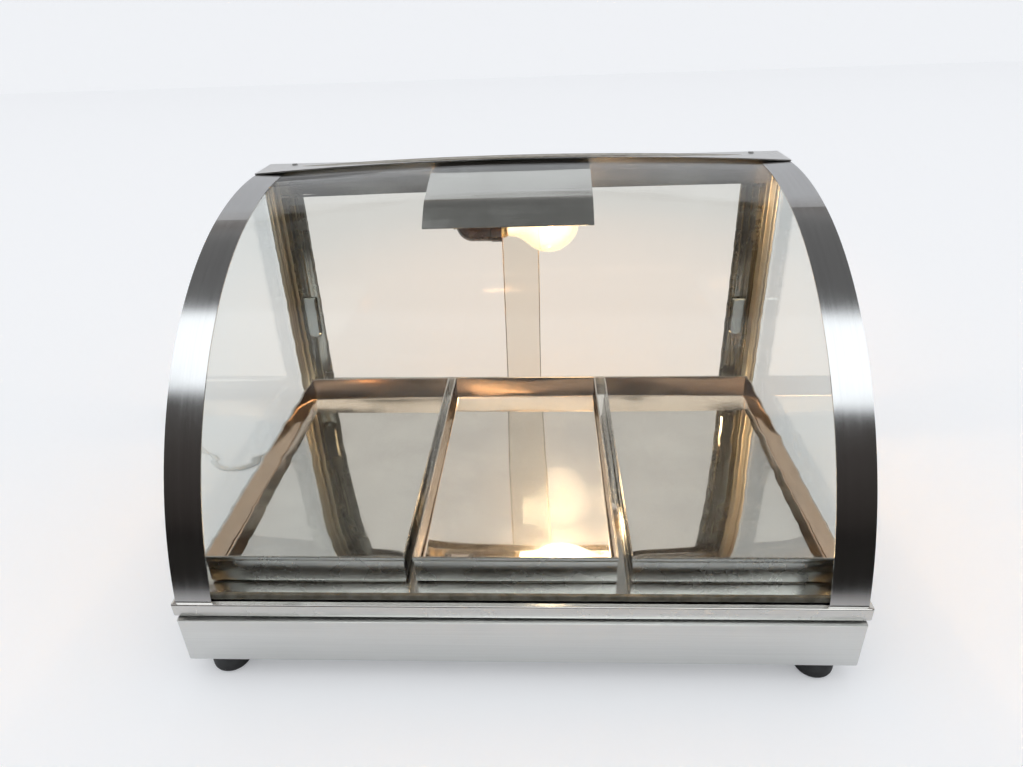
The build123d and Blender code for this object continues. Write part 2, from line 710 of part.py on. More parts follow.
# Rear frame: two posts, each folded round the pane's edge and the doors' ends
for side, name in ((-1, "left_post"), (1, "right_post")):
    with BuildPart() as post:
        with BuildSketch(Plane.XY.offset(deck_z)):
            with Locations((side * (case_side_x - sheet / 2), (post_front_y + case_rear_y) / 2)):
                Rectangle(sheet, case_rear_y - post_front_y)
            with Locations((side * (case_side_x - post_return / 2), case_rear_y - sheet / 2)):
                Rectangle(post_return, sheet)
            with Locations((side * (case_side_x - post_return / 2), front_flange_y + sheet / 2)):
                Rectangle(post_return, sheet)
        extrude(amount=case_top_z - deck_z)
        lip_x = sorted((side * (pane_inner_x - pane_gap - sheet), side * (pane_inner_x - pane_gap)))
        block(lip_x, (post_lip_y, front_flange_y), (deck_z, shade_top_z))
    finish_part(post.part, name)

# Header and sill: double channels that guide the two doors
def track(front_z, rear_z, web_z, fin_z):
    """A channel between the posts: front and rear flanges, a web and a fin between the doors."""
    half = post_flange_x
    block((-half, half), (front_flange_y, front_flange_y + sheet), front_z)
    block((-half, half), (case_rear_y - sheet, case_rear_y), rear_z)
    block((-half, half), (front_flange_y, case_rear_y), (web_z, web_z + sheet))
    block((-half, half), (track_fin_y - sheet / 2, track_fin_y + sheet / 2), fin_z)


duct_x = -72.0
duct_y = inner_door_y
duct_z = case_top_z - sheet - 6.2
with BuildPart() as rear_header:
    track((header_low_z, case_top_z), (header_low_z, case_top_z), case_top_z - sheet,
          (case_top_z - header_fin_drop, case_top_z - sheet))
    with Locations((duct_x, front_flange_y, duct_z)):
        Cylinder(2.4, 4 * sheet, rotation=(90, 0, 0), mode=Mode.SUBTRACT)
finish_part(rear_header.part, "rear_header")

with BuildPart() as rear_sill:
    track((deck_z, deck_z + sill_height), (deck_z, deck_z + sill_rear_height), deck_z,
          (deck_z, deck_z + sill_fin_height))
finish_part(rear_sill.part, "rear_sill")

# Top plate: straight along its rear fold and bowed up along its front edge, with two screws
top_screw_places = [
    (x, case_rear_y - top_screw_from_rear, case_top_z + sheet)
    for x in (top_screw_inset - top_plate_width / 2, top_plate_width / 2 - top_screw_inset)
]


def plate_edge(y, bow):
    """The plate's section across its width at one depth, risen by bow in the middle."""
    half = top_plate_width / 2
    with BuildSketch(Plane.XZ.offset(-y)) as edge:
        with BuildLine() as outline:
            under = ThreePointArc((-half, case_top_z), (0, case_top_z + bow), (half, case_top_z))
            right = Line(under @ 1, (half, case_top_z + sheet))
            over = ThreePointArc(right @ 1, (0, case_top_z + sheet + bow), (-half, case_top_z + sheet))
            Line(over @ 1, under @ 0)
        make_face(outline.edges())
    return edge.sketch


with BuildPart() as top_plate:
    loft(sections=[plate_edge(case_rear_y - top_plate_depth, top_plate_bow), plate_edge(case_rear_y, 0.02)],
         ruled=True)
    half = top_plate_width / 2
    block((-half, half), (case_rear_y, case_rear_y + sheet),
          (case_top_z + sheet - top_plate_lip, case_top_z + sheet))
    with Locations(*top_screw_places):
        Cylinder(top_screw_head / 2 + 0.1, 2 * sheet, align=(Align.CENTER, Align.CENTER, Align.MIN),
                 mode=Mode.SUBTRACT)
finish_part(top_plate.part, "top_plate")

with BuildPart() as top_screws:
    with Locations(*top_screw_places):
        Cylinder(top_screw_head / 2, top_screw_height, align=(Align.CENTER, Align.CENTER, Align.MIN))
    with Locations(*[(x, y, z + top_screw_height) for x, y, z in top_screw_places]):
        Box(3 * top_screw_head, 0.7, 0.8, mode=Mode.SUBTRACT)
finish_part(top_screws.part, "top_screws")

# Sliding doors: a pane with a stile folded over its outer edge and a pull set into both
def pull_outline(low_z, grow):
    """The pull's outline on an XZ sketch: square at the top and round at the bottom."""
    radius = pull_width / 2
    with BuildLine() as outline:
        side_low = (pull_x - radius - grow, low_z + radius)
        right_low = (pull_x + radius + grow, low_z + radius)
        top_z = low_z + pull_height + grow
        bottom = ThreePointArc(side_low, (pull_x, low_z - grow), right_low)
        Polyline(bottom @ 1, (right_low[0], top_z), (side_low[0], top_z), bottom @ 0)
    make_face(outline.edges())


doors = (
    ("left", -1, inner_door_y, -door_overlap_left),
    ("right", 1, outer_door_y, door_overlap_right),
)
for door, side, centre_y, free_edge in doors:
    front_of_stile = centre_y - stile_thickness / 2
    rear_of_stile = centre_y + stile_thickness / 2
    rear_plane = Plane(origin=(0, rear_of_stile, 0), x_dir=(1, 0, 0), z_dir=(0, -1, 0))
    mirror_side = Plane.YZ
    low_z = pull_low_z[door]

    with BuildPart() as pane:
        block((free_edge, stile_outer_x - thin_sheet - fit), (centre_y - glass / 2, centre_y + glass / 2),
              (door_low_z, door_top_z))
        with BuildSketch(rear_plane):
            pull_outline(low_z, fit)
        extrude(amount=stile_thickness, mode=Mode.SUBTRACT)
    pane_part = pane.part if side > 0 else pane.part.mirror(mirror_side)
    finish_part(pane_part, f"{door}_door_glass")

    with BuildPart() as stile:
        block((stile_inner_x, stile_outer_x), (front_of_stile, rear_of_stile), (door_low_z, door_top_z))
        block((stile_inner_x - 1, stile_outer_x - thin_sheet), (centre_y - glass / 2, centre_y + glass / 2),
              (door_low_z - 1, door_top_z + 1), mode=Mode.SUBTRACT)
        with BuildSketch(rear_plane):
            pull_outline(low_z, fit)
        extrude(amount=stile_thickness, mode=Mode.SUBTRACT)
    stile_part = stile.part if side > 0 else stile.part.mirror(mirror_side)
    finish_part(stile_part, f"{door}_door_stile")

    with BuildPart() as pull:
        with BuildSketch(rear_plane.offset(-pull_wall)):
            pull_outline(low_z, pull_rim)
        extrude(amount=pull_wall)
        with BuildSketch(rear_plane):
            pull_outline(low_z, 0)
        extrude(amount=stile_thickness + pull_bulge)
        chamfer(pull.faces().sort_by(Axis.Y)[0].edges(), 1.4)
        with BuildSketch(rear_plane.offset(-pull_wall)):
            pull_outline(low_z, -pull_wall)
        extrude(amount=stile_thickness + pull_bulge, mode=Mode.SUBTRACT)
    pull_part = pull.part if side > 0 else pull.part.mirror(mirror_side)
    finish_part(pull_part, f"{door}_door_pull")

# Lamp: holder, screw cap, bulb and its stem, on an axis along X
lamp_plane = Plane(origin=(0, lamp_y, lamp_z), x_dir=(1, 0, 0), z_dir=(0, -1, 0))
lamp_axis = Axis((0, lamp_y, lamp_z), (1, 0, 0))
bulb_radius = bulb_diameter / 2
neck_radius = 12.2
ball_x = bulb_tip_x - bulb_radius


def bulb_profile(wall):
    """Half the bulb's outline, moved in by a wall thickness, on the lamp's plane."""
    radius = bulb_radius - wall
    neck = neck_radius - wall
    start_x = bulb_neck_x + wall
    shoulder = (ball_x - radius * sin(radians(35)), radius * cos(radians(35)))
    with BuildLine() as outline:
        axis_line = Line((start_x, 0), (ball_x + radius, 0))
        ball = CenterArc((ball_x, 0), radius, 0, 125)
        waist = Spline(shoulder, (bulb_neck_x + 9, neck + 1.2), (start_x, neck),
                       tangents=((-cos(radians(35)), -sin(radians(35))), (-1, 0)))
        Line(waist @ 1, axis_line @ 0)
    make_face(outline.edges())


with BuildPart() as bulb_glass:
    with BuildSketch(lamp_plane):
        bulb_profile(0)
    revolve(axis=lamp_axis)
    with BuildSketch(lamp_plane):
        bulb_profile(bulb_wall)
    revolve(axis=lamp_axis, mode=Mode.SUBTRACT)
finish_part(bulb_glass.part, "bulb_glass")

with BuildPart() as bulb_cap:
    with BuildSketch(lamp_plane):
        with BuildLine():
            Polyline((bulb_neck_x, 0), (bulb_neck_x, neck_radius),
                     (bulb_neck_x - 2, cap_diameter / 2), (bulb_neck_x - cap_length + 6, cap_diameter / 2),
                     (bulb_neck_x - cap_length, 5), (bulb_neck_x - cap_length, 0), close=True)
        make_face()
    revolve(axis=lamp_axis)
finish_part(bulb_cap.part, "bulb_cap")

with BuildPart() as bulb_stem:
    stem_x = bulb_neck_x + bulb_wall
    with BuildSketch(lamp_plane):
        with BuildLine():
            Polyline((stem_x, 0), (stem_x, 6), (stem_x + 14, 2.2), (stem_x + 24, 2.2), (stem_x + 24, 0),
                     close=True)
        make_face()
    revolve(axis=lamp_axis)
finish_part(bulb_stem.part, "bulb_stem")

with BuildPart() as bulb_filament:
    tip_x = stem_x + 24
    filament_x = tip_x + 12
    for z in (-8.0, 8.0):
        wire([(tip_x, lamp_y, lamp_z + z / 8), (tip_x + 3, lamp_y, lamp_z + z / 8),
              (filament_x, lamp_y, lamp_z + z)], 0.8, 1.5, sides=4)
    with Locations((filament_x, lamp_y, lamp_z)):
        Cylinder(0.7, 17.5)
finish_part(bulb_filament.part, "bulb_filament")

holder_end_x = holder_mouth_x - holder_length
with BuildPart() as lamp_holder:
    with BuildSketch(lamp_plane):
        with BuildLine():
            outer = Polyline((holder_end_x, 0), (holder_end_x, 5), (holder_end_x + 1, 7))
            nose = Spline(outer @ 1, (holder_end_x + 12, holder_diameter / 2 - 1.0),
                          tangents=((0.45, 1), (1, 0.12)))
            rim = Polyline(nose @ 1, (holder_mouth_x - 9, holder_diameter / 2 - 0.6),
                           (holder_mouth_x - 8.6, holder_diameter / 2), (holder_mouth_x, holder_diameter / 2),
                           (holder_mouth_x, 0), (holder_end_x, 0))
        make_face()
    revolve(axis=lamp_axis)
    with BuildSketch(lamp_plane):
        with BuildLine():
            Polyline((holder_mouth_x + 1, 0), (holder_mouth_x + 1, cap_diameter / 2 + 0.1),
                     (bulb_neck_x - cap_length + 6 - 0.2, cap_diameter / 2 + 0.1),
                     (bulb_neck_x - cap_length, 5.3), (bulb_neck_x - cap_length, 0), close=True)
        make_face()
    revolve(axis=lamp_axis, mode=Mode.SUBTRACT)
finish_part(lamp_holder.part, "lamp_holder")

# Lamp bracket: foot on the header, arm towards the front and a tab behind the holder
tab_x = holder_end_x
tab_half = 5.0
arm_x = (tab_x - bracket_width, tab_x)
with BuildPart() as lamp_bracket:
    block(arm_x, (front_flange_y - bracket_sheet, front_flange_y), (bracket_arm_z, shade_top_z - shade_lip - fit))
    block(arm_x, (lamp_y - tab_half, front_flange_y), (bracket_arm_z, bracket_arm_z + bracket_sheet))
    block((tab_x - bracket_sheet, tab_x), (lamp_y - tab_half, lamp_y + tab_half),
          (lamp_z - tab_half, bracket_arm_z + bracket_sheet))
    with Locations((tab_x, lamp_y, lamp_z)):
        Box(6, 2.6, 2.6, mode=Mode.SUBTRACT)
finish_part(lamp_bracket.part, "lamp_bracket")

# Shade: one bent sheet, with a level flange behind and a lip screwed to the header
shade_radius = (shade_run ** 2 + shade_drop ** 2) / (2 * shade_drop)
shade_sweep = asin(shade_run / shade_radius)


def shade_point(share, inset):
    """A point along the shade's curve, moved in by inset, as (y, z)."""
    turn = shade_sweep * share
    reach = shade_radius - inset
    return (shade_bend_y - reach * sin(turn), shade_top_z - shade_radius + reach * cos(turn))


lip_low_z = shade_top_z - shade_lip
with BuildPart() as lamp_shade:
    with BuildSketch(Plane.YZ.offset(shade_left_x)):
        with BuildLine():
            upper = ThreePointArc(shade_point(0, 0), shade_point(0.5, 0), shade_point(1, 0))
            edge = Line(upper @ 1, shade_point(1, thin_sheet))
            lower = ThreePointArc(edge @ 1, shade_point(0.5, thin_sheet), shade_point(0, thin_sheet))
            Polyline(lower @ 1, (front_flange_y - thin_sheet, shade_top_z - thin_sheet),
                     (front_flange_y - thin_sheet, lip_low_z), (front_flange_y, lip_low_z),
                     (front_flange_y, shade_top_z), upper @ 0)
        make_face()
    extrude(amount=shade_right_x - shade_left_x)
finish_part(lamp_shade.part, "lamp_shade")

with BuildPart() as shade_screws:
    for x in (-shade_screw_spacing / 2, shade_screw_spacing / 2):
        with Locations((x, front_flange_y - thin_sheet - 0.8, shade_top_z - shade_lip / 2)):
            Cylinder(2.4, 1.6, rotation=(90, 0, 0))
finish_part(shade_screws.part, "shade_screws")

# Lead from the lamp, along the header and down the left post to the switch
lead_start_x = holder_end_x - bracket_sheet
with BuildPart() as lamp_lead:
    wire([(lead_start_x, lamp_y, lamp_z), (duct_x, lamp_y, lamp_z), (duct_x, lamp_y + 12, lamp_z + 18),
          (duct_x, front_flange_y - 14, duct_z), (duct_x, duct_y, duct_z),
          (riser_x, duct_y, duct_z), (riser_x, riser_y, duct_z - 8),
          (riser_x, riser_y, gland_z), (riser_x, base_rear_y - 14, gland_z - 8),
          (switch_x - 30, base_rear_y - 14, gland_z - 8), (switch_x - 16, switch_tab_y - 7, switch_z + 5.5),
          (switch_x, switch_tab_y - 7, switch_z + 5.5), (switch_x, switch_tab_y, switch_z + 5.5)],
         lead_diameter, 2.4)
finish_part(lamp_lead.part, "lamp_lead")

# Trays: folded pans with a hemmed rim, standing loose on the deck
tray_width = (2 * pane_inner_x - sum(tray_gaps)) / 3
tray_length = post_front_y - tray_rear_gap - front_y - tray_front_gap
tray_y = front_y + tray_front_gap + tray_length / 2
for place, tray in enumerate(("left", "middle", "right")):
    tray_x = sum(tray_gaps[:place + 1]) + (place + 0.5) * tray_width - pane_inner_x
    with BuildPart() as pan:
        with BuildSketch(Plane.XY.offset(deck_z)):
            with Locations((tray_x, tray_y)):
                RectangleRounded(tray_width - 2 * tray_hem, tray_length - 2 * tray_hem, tray_corner)
        extrude(amount=tray_height)
        chamfer(pan.faces().sort_by(Axis.Z)[0].edges(), tray_floor_round)
        offset(amount=-thin_sheet, openings=pan.faces().sort_by(Axis.Z)[-1])
        with BuildSketch(Plane.XY.offset(deck_z + tray_height - tray_hem_height)):
            with Locations((tray_x, tray_y)):
                RectangleRounded(tray_width, tray_length, tray_corner + tray_hem)
                RectangleRounded(tray_width - 2 * tray_hem, tray_length - 2 * tray_hem, tray_corner,
                                 mode=Mode.SUBTRACT)
        extrude(amount=tray_hem_height)
    finish_part(pan.part, f"{tray}_tray")


# Mains cord: a tail to the coil, the coil, a lead round the case and the plug
def cord_bends(points):
    """Radii of the arcs between a route's runs: as large as the two runs allow."""
    radii = []
    for before, corner, after in zip(points, points[1:], points[2:]):
        run_in = Vector(*corner) - Vector(*before)
        run_out = Vector(*after) - Vector(*corner)
        half_turn = radians(run_in.get_angle(run_out)) / 2
        radii.append(0.45 * min(run_in.length, run_out.length) * cos(half_turn) / sin(half_turn))
    return radii


def cord_tube(points, name):
    """A cord along straight runs joined by tangent arcs, cut flat where it lies on the table."""
    radii = cord_bends(points)
    with BuildPart() as tube:
        with BuildLine() as route:
            FilletPolyline(*points, radius=radii)
        with BuildSketch(Plane(origin=route.line @ 0, z_dir=route.line % 0)) as section:
            RegularPolygon(cord_low, cord_sides, major_radius=False, rotation=cord_turned)
        sweep(path=route.line)
        split(bisect_by=Plane.XY, keep=Keep.TOP)
    length = route.wires()[0].length
    section = section.sketch.area
    print(name, "radii", [round(r, 1) for r in radii], "length", round(length, 1),
          "volume ratio", round(tube.part.volume / (section * length), 4))
    finish_part(tube.part, name)


cord_tube(cord_tail_points, "cord_tail")
cord_tube(cord_lead_points, "cord_lead")

turn_pitch = cord_diameter + cord_turn_gap
coil_outer = coil_mean_radius + turn_pitch
coil_x = coil_rear[0]
coil_y = coil_rear[1] - coil_outer
upper_z = cord_low + turn_pitch


def coil_reach(step):
    """Distance of the cord from the coil's middle after a number of half turns.

    The climb is the innermost half turn, and the next one steps out a whole pitch to clear it.
    """
    inward = min(step, coil_half_turns + 1)
    outward = step - coil_half_turns if step > coil_half_turns + 1 else 0
    return coil_outer - (inward - outward) * turn_pitch / 2


with BuildPart() as cord_coil:
    with BuildLine() as coil_route:
        side = 1
        z = cord_low
        start = Vector(coil_x, coil_y + coil_reach(0), z)
        Line(start + Vector(cord_diameter, 0, 0), start)
        for step in range(1, 2 * coil_half_turns + 1):
            side = -side
            climbs = step == coil_half_turns + 1
            rise = turn_pitch if climbs else 0
            end = Vector(coil_x, coil_y + side * coil_reach(step), z + rise)
            half = (end - start).length / 2
            middle = (start + end) * 0.5 + Vector(side * half, 0, 0)
            if climbs:
                first = TangentArc(start, middle, tangent=(side, 0, 0))
                TangentArc(middle, end, tangent=first % 1)
            else:
                ThreePointArc(start, middle, end)
            start = end
            z += rise
        Line(start, start + Vector(-cord_diameter, 0, 0))
    with BuildSketch(Plane(origin=coil_route.line @ 0, z_dir=coil_route.line % 0)):
        RegularPolygon(cord_low, cord_sides, major_radius=False, rotation=cord_turned)
    sweep(path=coil_route.line)

coil_wire = coil_route.wires()[0]
coil_length = coil_wire.length
coil_steps = 360
coil_samples = [coil_wire @ (i / coil_steps) for i in range(coil_steps + 1)]
apart = int(coil_steps * 3 * cord_diameter / coil_length) + 1
least_gap = min(
    (coil_samples[i] - coil_samples[j]).length
    for i in range(coil_steps + 1)
    for j in range(i + apart, coil_steps + 1)
) - cord_diameter
print("cord_coil length", round(coil_length, 1), "least gap to itself", round(least_gap, 2))
finish_part(cord_coil.part, "cord_coil")

# Tie round the coil's turns, on the side towards the case
tie_wall = 0.8
tie_width = 6.0
with BuildPart() as cord_tie:
    turns_y = (coil_y - coil_reach(1) - cord_low, coil_y - coil_reach(coil_half_turns + 1) + cord_low)
    turns_z = (0.0, upper_z + cord_low)
    block((coil_x - tie_width / 2, coil_x + tie_width / 2),
          (turns_y[0] - fit - tie_wall, turns_y[1] + fit + tie_wall), (0, turns_z[1] + fit + tie_wall))
    block((coil_x - tie_width, coil_x + tie_width), (turns_y[0] - fit, turns_y[1] + fit),
          (-1, turns_z[1] + fit), mode=Mode.SUBTRACT)
finish_part(cord_tie.part, "cord_tie")

# Plug: a flat moulded body with a waist, a tapered sleeve and two round pins
plug_start = Vector(*cord_lead_points[-1])
plug_heading = (plug_start - Vector(*cord_lead_points[-2])).normalized()
plug_plane = Plane(origin=plug_start, x_dir=Vector(0, 0, 1).cross(plug_heading), z_dir=plug_heading)
sleeve_length = 14.0
sleeve_wall = 0.6
plug_axis_rise = plug_thickness / 2 - cord_low
with BuildPart() as plug_body:
    with BuildSketch(plug_plane):
        with Locations((0, sleeve_wall)):
            Circle(cord_low + sleeve_wall)
    with BuildSketch(plug_plane.offset(sleeve_length)):
        with Locations((0, plug_axis_rise)):
            Ellipse(6.0, plug_thickness / 2 - 0.6)
    loft()
    with BuildSketch(plug_plane.offset(sleeve_length)):
        with Locations((0, plug_axis_rise)):
            RectangleRounded(plug_width + 8, plug_thickness, 5)
    extrude(amount=plug_length - sleeve_length)
finish_part(plug_body.part, "plug_body")

with BuildPart() as plug_pins:
    with BuildSketch(plug_plane.offset(plug_length)):
        with Locations((-pin_spacing / 2, plug_axis_rise), (pin_spacing / 2, plug_axis_rise)):
            Circle(pin_diameter / 2)
    extrude(amount=pin_length)
finish_part(plug_pins.part, "plug_pins")
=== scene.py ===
from math import cos, exp, log, radians, sin, sqrt

import bmesh
import bpy
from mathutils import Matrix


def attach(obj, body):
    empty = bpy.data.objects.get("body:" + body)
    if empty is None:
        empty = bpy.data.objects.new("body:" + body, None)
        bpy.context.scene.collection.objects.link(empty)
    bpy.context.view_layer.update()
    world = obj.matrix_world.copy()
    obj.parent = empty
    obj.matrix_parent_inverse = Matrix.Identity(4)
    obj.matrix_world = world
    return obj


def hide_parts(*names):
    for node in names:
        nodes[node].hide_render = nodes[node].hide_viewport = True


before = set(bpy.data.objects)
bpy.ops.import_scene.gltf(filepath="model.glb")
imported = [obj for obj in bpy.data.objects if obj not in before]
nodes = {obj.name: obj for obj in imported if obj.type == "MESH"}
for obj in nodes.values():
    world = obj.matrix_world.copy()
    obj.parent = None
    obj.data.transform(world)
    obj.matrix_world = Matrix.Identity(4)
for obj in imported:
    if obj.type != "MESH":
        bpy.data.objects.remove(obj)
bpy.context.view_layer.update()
scene = bpy.context.scene
scene.view_settings.view_transform = "Standard"

# Camera
# A wide lens in front of the case and a little above it, looking down at the trays. It leans by two
# degrees, so the base runs slightly downhill to the right.
view = bpy.data.cameras.new("view")
view.sensor_width = 36.0
view.lens = 25.05
camera = bpy.data.objects.new("camera", view)
camera.location = (0.0234, -0.4834, 0.3923)
camera.rotation_euler = (radians(61.742), radians(1.924), radians(2.373))
scene.collection.objects.link(camera)
scene.camera = camera


# Studio light
# A white wall behind with a dark rail high up on it, a dark room on the camera's side, and one wide
# soft panel overhead. Steel and glass see that room, and an even pale sky lights the object.
def rgb(red, green, blue):
    """A colour as it looks on a screen, from 0 to 255, in the linear form that shaders take."""
    def linear(value):
        value /= 255
        return value / 12.92 if value <= 0.04045 else ((value + 0.055) / 1.055) ** 2.4
    return (linear(red), linear(green), linear(blue), 1.0)


def add_node(tree, kind, **inputs):
    """Add a node. Each input is a value, or another node's output socket to join to it."""
    node = tree.nodes.new("ShaderNode" + kind)
    set_inputs(tree, node, **inputs)
    return node


def set_inputs(tree, node, **inputs):
    """Set or join a node's inputs, each named by its label with underscores, or by i and its number."""
    for name, value in inputs.items():
        if name[0] == "i" and name[1:].isdigit():
            socket = node.inputs[int(name[1:])]
        else:
            socket = node.inputs[name.replace("_", " ")]
        if isinstance(value, bpy.types.NodeSocket):
            tree.links.new(value, socket)
        else:
            socket.default_value = value


def calculate(tree, operation, first, second=0.0, third=0.0):
    """One step of arithmetic on numbers or sockets."""
    node = add_node(tree, "Math", i0=first, i1=second, i2=third)
    node.operation = operation
    return node.outputs[0]


def fade(tree, value, start, end):
    """0 at start and 1 at end, smoothly between."""
    node = add_node(tree, "MapRange", Value=value, From_Min=start, From_Max=end)
    node.interpolation_type = "SMOOTHSTEP"
    return node.outputs[0]


def ramp(tree, factor, *stops):
    """A colour ramp with (position, colour) stops."""
    node = add_node(tree, "ValToRGB", Fac=factor)
    elements = node.color_ramp.elements
    while len(elements) < len(stops):
        elements.new(0.5)
    for element, (position, colour) in zip(elements, stops):
        element.position = position
        element.color = colour if hasattr(colour, "__len__") else (colour, colour, colour, 1.0)
    return node.outputs["Color"]


def mix_colour(tree, factor, first, second):
    """A mix of two colours."""
    node = add_node(tree, "Mix")
    node.data_type = "RGBA"
    set_inputs(tree, node, i0=factor, i6=first, i7=second)
    return node.outputs[2]


# The panel's edges, as steps ahead or aside for each step up, with their slant and half their blur
PANEL_NEAR = 0.89
PANEL_NEAR_SLANT = 0.22
PANEL_NEAR_BLUR = 0.06
PANEL_FAR = 0.14
PANEL_FAR_SLANT = 0.10
PANEL_FAR_BLUR = 0.055
PANEL_SIDE = 0.74
PANEL_SIDE_BLUR = 0.08
PANEL_COLOUR = (1.78, 1.86, 1.92, 1.0)
ROOM_LOW = (0.014, 0.012, 0.011, 1.0)
ROOM_TABLE_HIGH = (0.034, 0.029, 0.026, 1.0)
ROOM_MIDDLE = (0.064, 0.056, 0.052, 1.0)
ROOM_HIGH = (0.10, 0.095, 0.09, 1.0)
RAIL_UNDERSIDE = (0.09, 0.06, 0.045, 1.0)
RAIL_FRONT = (0.10, 0.07, 0.055, 1.0)
PALE_SKY = (0.87, 0.875, 0.885, 1.0)
BACKGROUND = rgb(241, 243, 245)
LEAST_HEIGHT = 0.05

world = bpy.data.worlds.new("studio")
world.use_nodes = True
scene.world = world
tree = world.node_tree
tree.nodes.clear()
place = add_node(tree, "SeparateXYZ", Vector=add_node(tree, "TexCoord").outputs["Generated"])
side, depth, height = place.outputs
wall = ramp(tree, height, (0.0, 0.88), (0.50, 0.86), (0.62, 0.74), (0.708, 0.50),
            (0.714, RAIL_UNDERSIDE), (0.736, RAIL_FRONT), (0.742, 0.32), (0.80, 0.20), (1.0, 0.15))
room = ramp(tree, height, (0.0, ROOM_LOW), (0.10, ROOM_TABLE_HIGH), (0.45, ROOM_MIDDLE),
            (0.68, ROOM_HIGH), (0.76, 0.18), (1.0, 0.15))
seen = mix_colour(tree, fade(tree, depth, -0.12, 0.10), room, wall)
above = calculate(tree, "MAXIMUM", height, LEAST_HEIGHT)
ahead = calculate(tree, "DIVIDE", calculate(tree, "MULTIPLY", depth, -1.0), above)
across = calculate(tree, "DIVIDE", side, above)
near_edge = calculate(tree, "MULTIPLY_ADD", across, PANEL_NEAR_SLANT, PANEL_NEAR)
far_edge = calculate(tree, "MULTIPLY_ADD", across, PANEL_FAR_SLANT, PANEL_FAR)
past_near = calculate(tree, "SUBTRACT", ahead, near_edge)
past_far = calculate(tree, "SUBTRACT", ahead, far_edge)
lengthways = calculate(tree, "MULTIPLY", fade(tree, past_near, PANEL_NEAR_BLUR, -PANEL_NEAR_BLUR),
                       fade(tree, past_far, -PANEL_FAR_BLUR, PANEL_FAR_BLUR))
sideways = fade(tree, calculate(tree, "ABSOLUTE", across),
                PANEL_SIDE + PANEL_SIDE_BLUR, PANEL_SIDE - PANEL_SIDE_BLUR)
panel = calculate(tree, "MULTIPLY", lengthways, sideways)
seen = mix_colour(tree, panel, seen, PANEL_COLOUR)
path = add_node(tree, "LightPath")
bent = calculate(tree, "MAXIMUM", path.outputs["Is Glossy Ray"], path.outputs["Is Transmission Ray"])
colour = mix_colour(tree, bent, PALE_SKY, seen)
colour = mix_colour(tree, path.outputs["Is Camera Ray"], colour, BACKGROUND)
background = add_node(tree, "Background", Color=colour, Strength=1.0)
add_node(tree, "OutputWorld", Surface=background.outputs[0])


# Table and backdrop
# White paper on a table, which sweeps up into the wall far behind the case. Its steel and glass see
# the table end a hand's length in front of the case, above a dark floor.
def start_material(name):
    """A new material with an empty tree and its output."""
    material = bpy.data.materials.new(name)
    material.use_nodes = True
    material.node_tree.nodes.clear()
    return material, material.node_tree, material.node_tree.nodes.new("ShaderNodeOutputMaterial")


TABLE_EDGE = -0.33
TABLE_SIZE = 12.0
TABLE_MIDDLE_Y = -2.0
SWEEP = [(0.0, 1.5, 1.0), (0.0, 0.2, 5.0)]
PAPER_LIFT = 0.27
DARK_FLOOR = (0.02, 0.018, 0.016, 1.0)

paper, tree, output = start_material("white_paper")
place = add_node(tree, "SeparateXYZ", Vector=add_node(tree, "TexCoord").outputs["Object"])
path = add_node(tree, "LightPath")
bent = calculate(tree, "MAXIMUM", path.outputs["Is Glossy Ray"], path.outputs["Is Transmission Ray"])
seen = calculate(tree, "MAXIMUM", path.outputs["Is Camera Ray"], path.outputs["Is Transmission Ray"])
lift = calculate(tree, "MULTIPLY", seen, PAPER_LIFT)
sheet = add_node(tree, "BsdfPrincipled", Base_Color=rgb(226, 227, 229), Roughness=0.9,
                 Emission_Color=rgb(246, 249, 253), Emission_Strength=lift)
sheet.inputs["Specular IOR Level"].default_value = 0.0
past_edge = fade(tree, place.outputs["Y"], TABLE_EDGE + 0.04, TABLE_EDGE - 0.04)
dark = calculate(tree, "MULTIPLY", bent, past_edge)
gloom = add_node(tree, "Emission", Color=DARK_FLOOR, Strength=1.0)
mix = add_node(tree, "MixShader", i0=dark, i1=sheet.outputs[0], i2=gloom.outputs[0])
tree.links.new(mix.outputs[0], output.inputs["Surface"])

bpy.ops.object.select_all(action="DESELECT")
bpy.ops.mesh.primitive_plane_add(size=TABLE_SIZE, location=(0.0, TABLE_MIDDLE_Y, 0.0))
table = bpy.context.object
table.name = "table"
bpy.ops.object.transform_apply(location=True)
bpy.ops.object.mode_set(mode="EDIT")
bpy.ops.mesh.select_all(action="DESELECT")
mesh = bmesh.from_edit_mesh(table.data)
for edge in mesh.edges:
    edge.select_set(all(vertex.co.y > TABLE_MIDDLE_Y for vertex in edge.verts))
bmesh.update_edit_mesh(table.data)
for step in SWEEP:
    bpy.ops.mesh.extrude_region_move(TRANSFORM_OT_translate={"value": step})
bpy.ops.object.mode_set(mode="OBJECT")
table.data.materials.append(paper)


# Base shell
# A box folded from brushed stainless sheet, with a narrow ledge in front of the deck's rim. Its
# corners are spot-welded and ground, and every fold is slightly round.
def make_group(name, inputs, outputs):
    """An empty node group with named inputs and outputs, each given as (name, kind, default)."""
    group = bpy.data.node_groups.new(name, "ShaderNodeTree")
    for label, kind, default in inputs:
        socket = group.interface.new_socket(name=label, in_out="INPUT", socket_type="NodeSocket" + kind)
        if default is not None:
            socket.default_value = default
    for label, kind, default in outputs:
        group.interface.new_socket(name=label, in_out="OUTPUT", socket_type="NodeSocket" + kind)
    entry = group.nodes.new("NodeGroupInput")
    leave = group.nodes.new("NodeGroupOutput")
    return group, entry.outputs, leave.inputs


def use_group(tree, group, **inputs):
    """Place a node group in a material, with its inputs set or joined."""
    node = tree.nodes.new("ShaderNodeGroup")
    node.node_tree = group
    set_inputs(tree, node, **inputs)
    return node.outputs


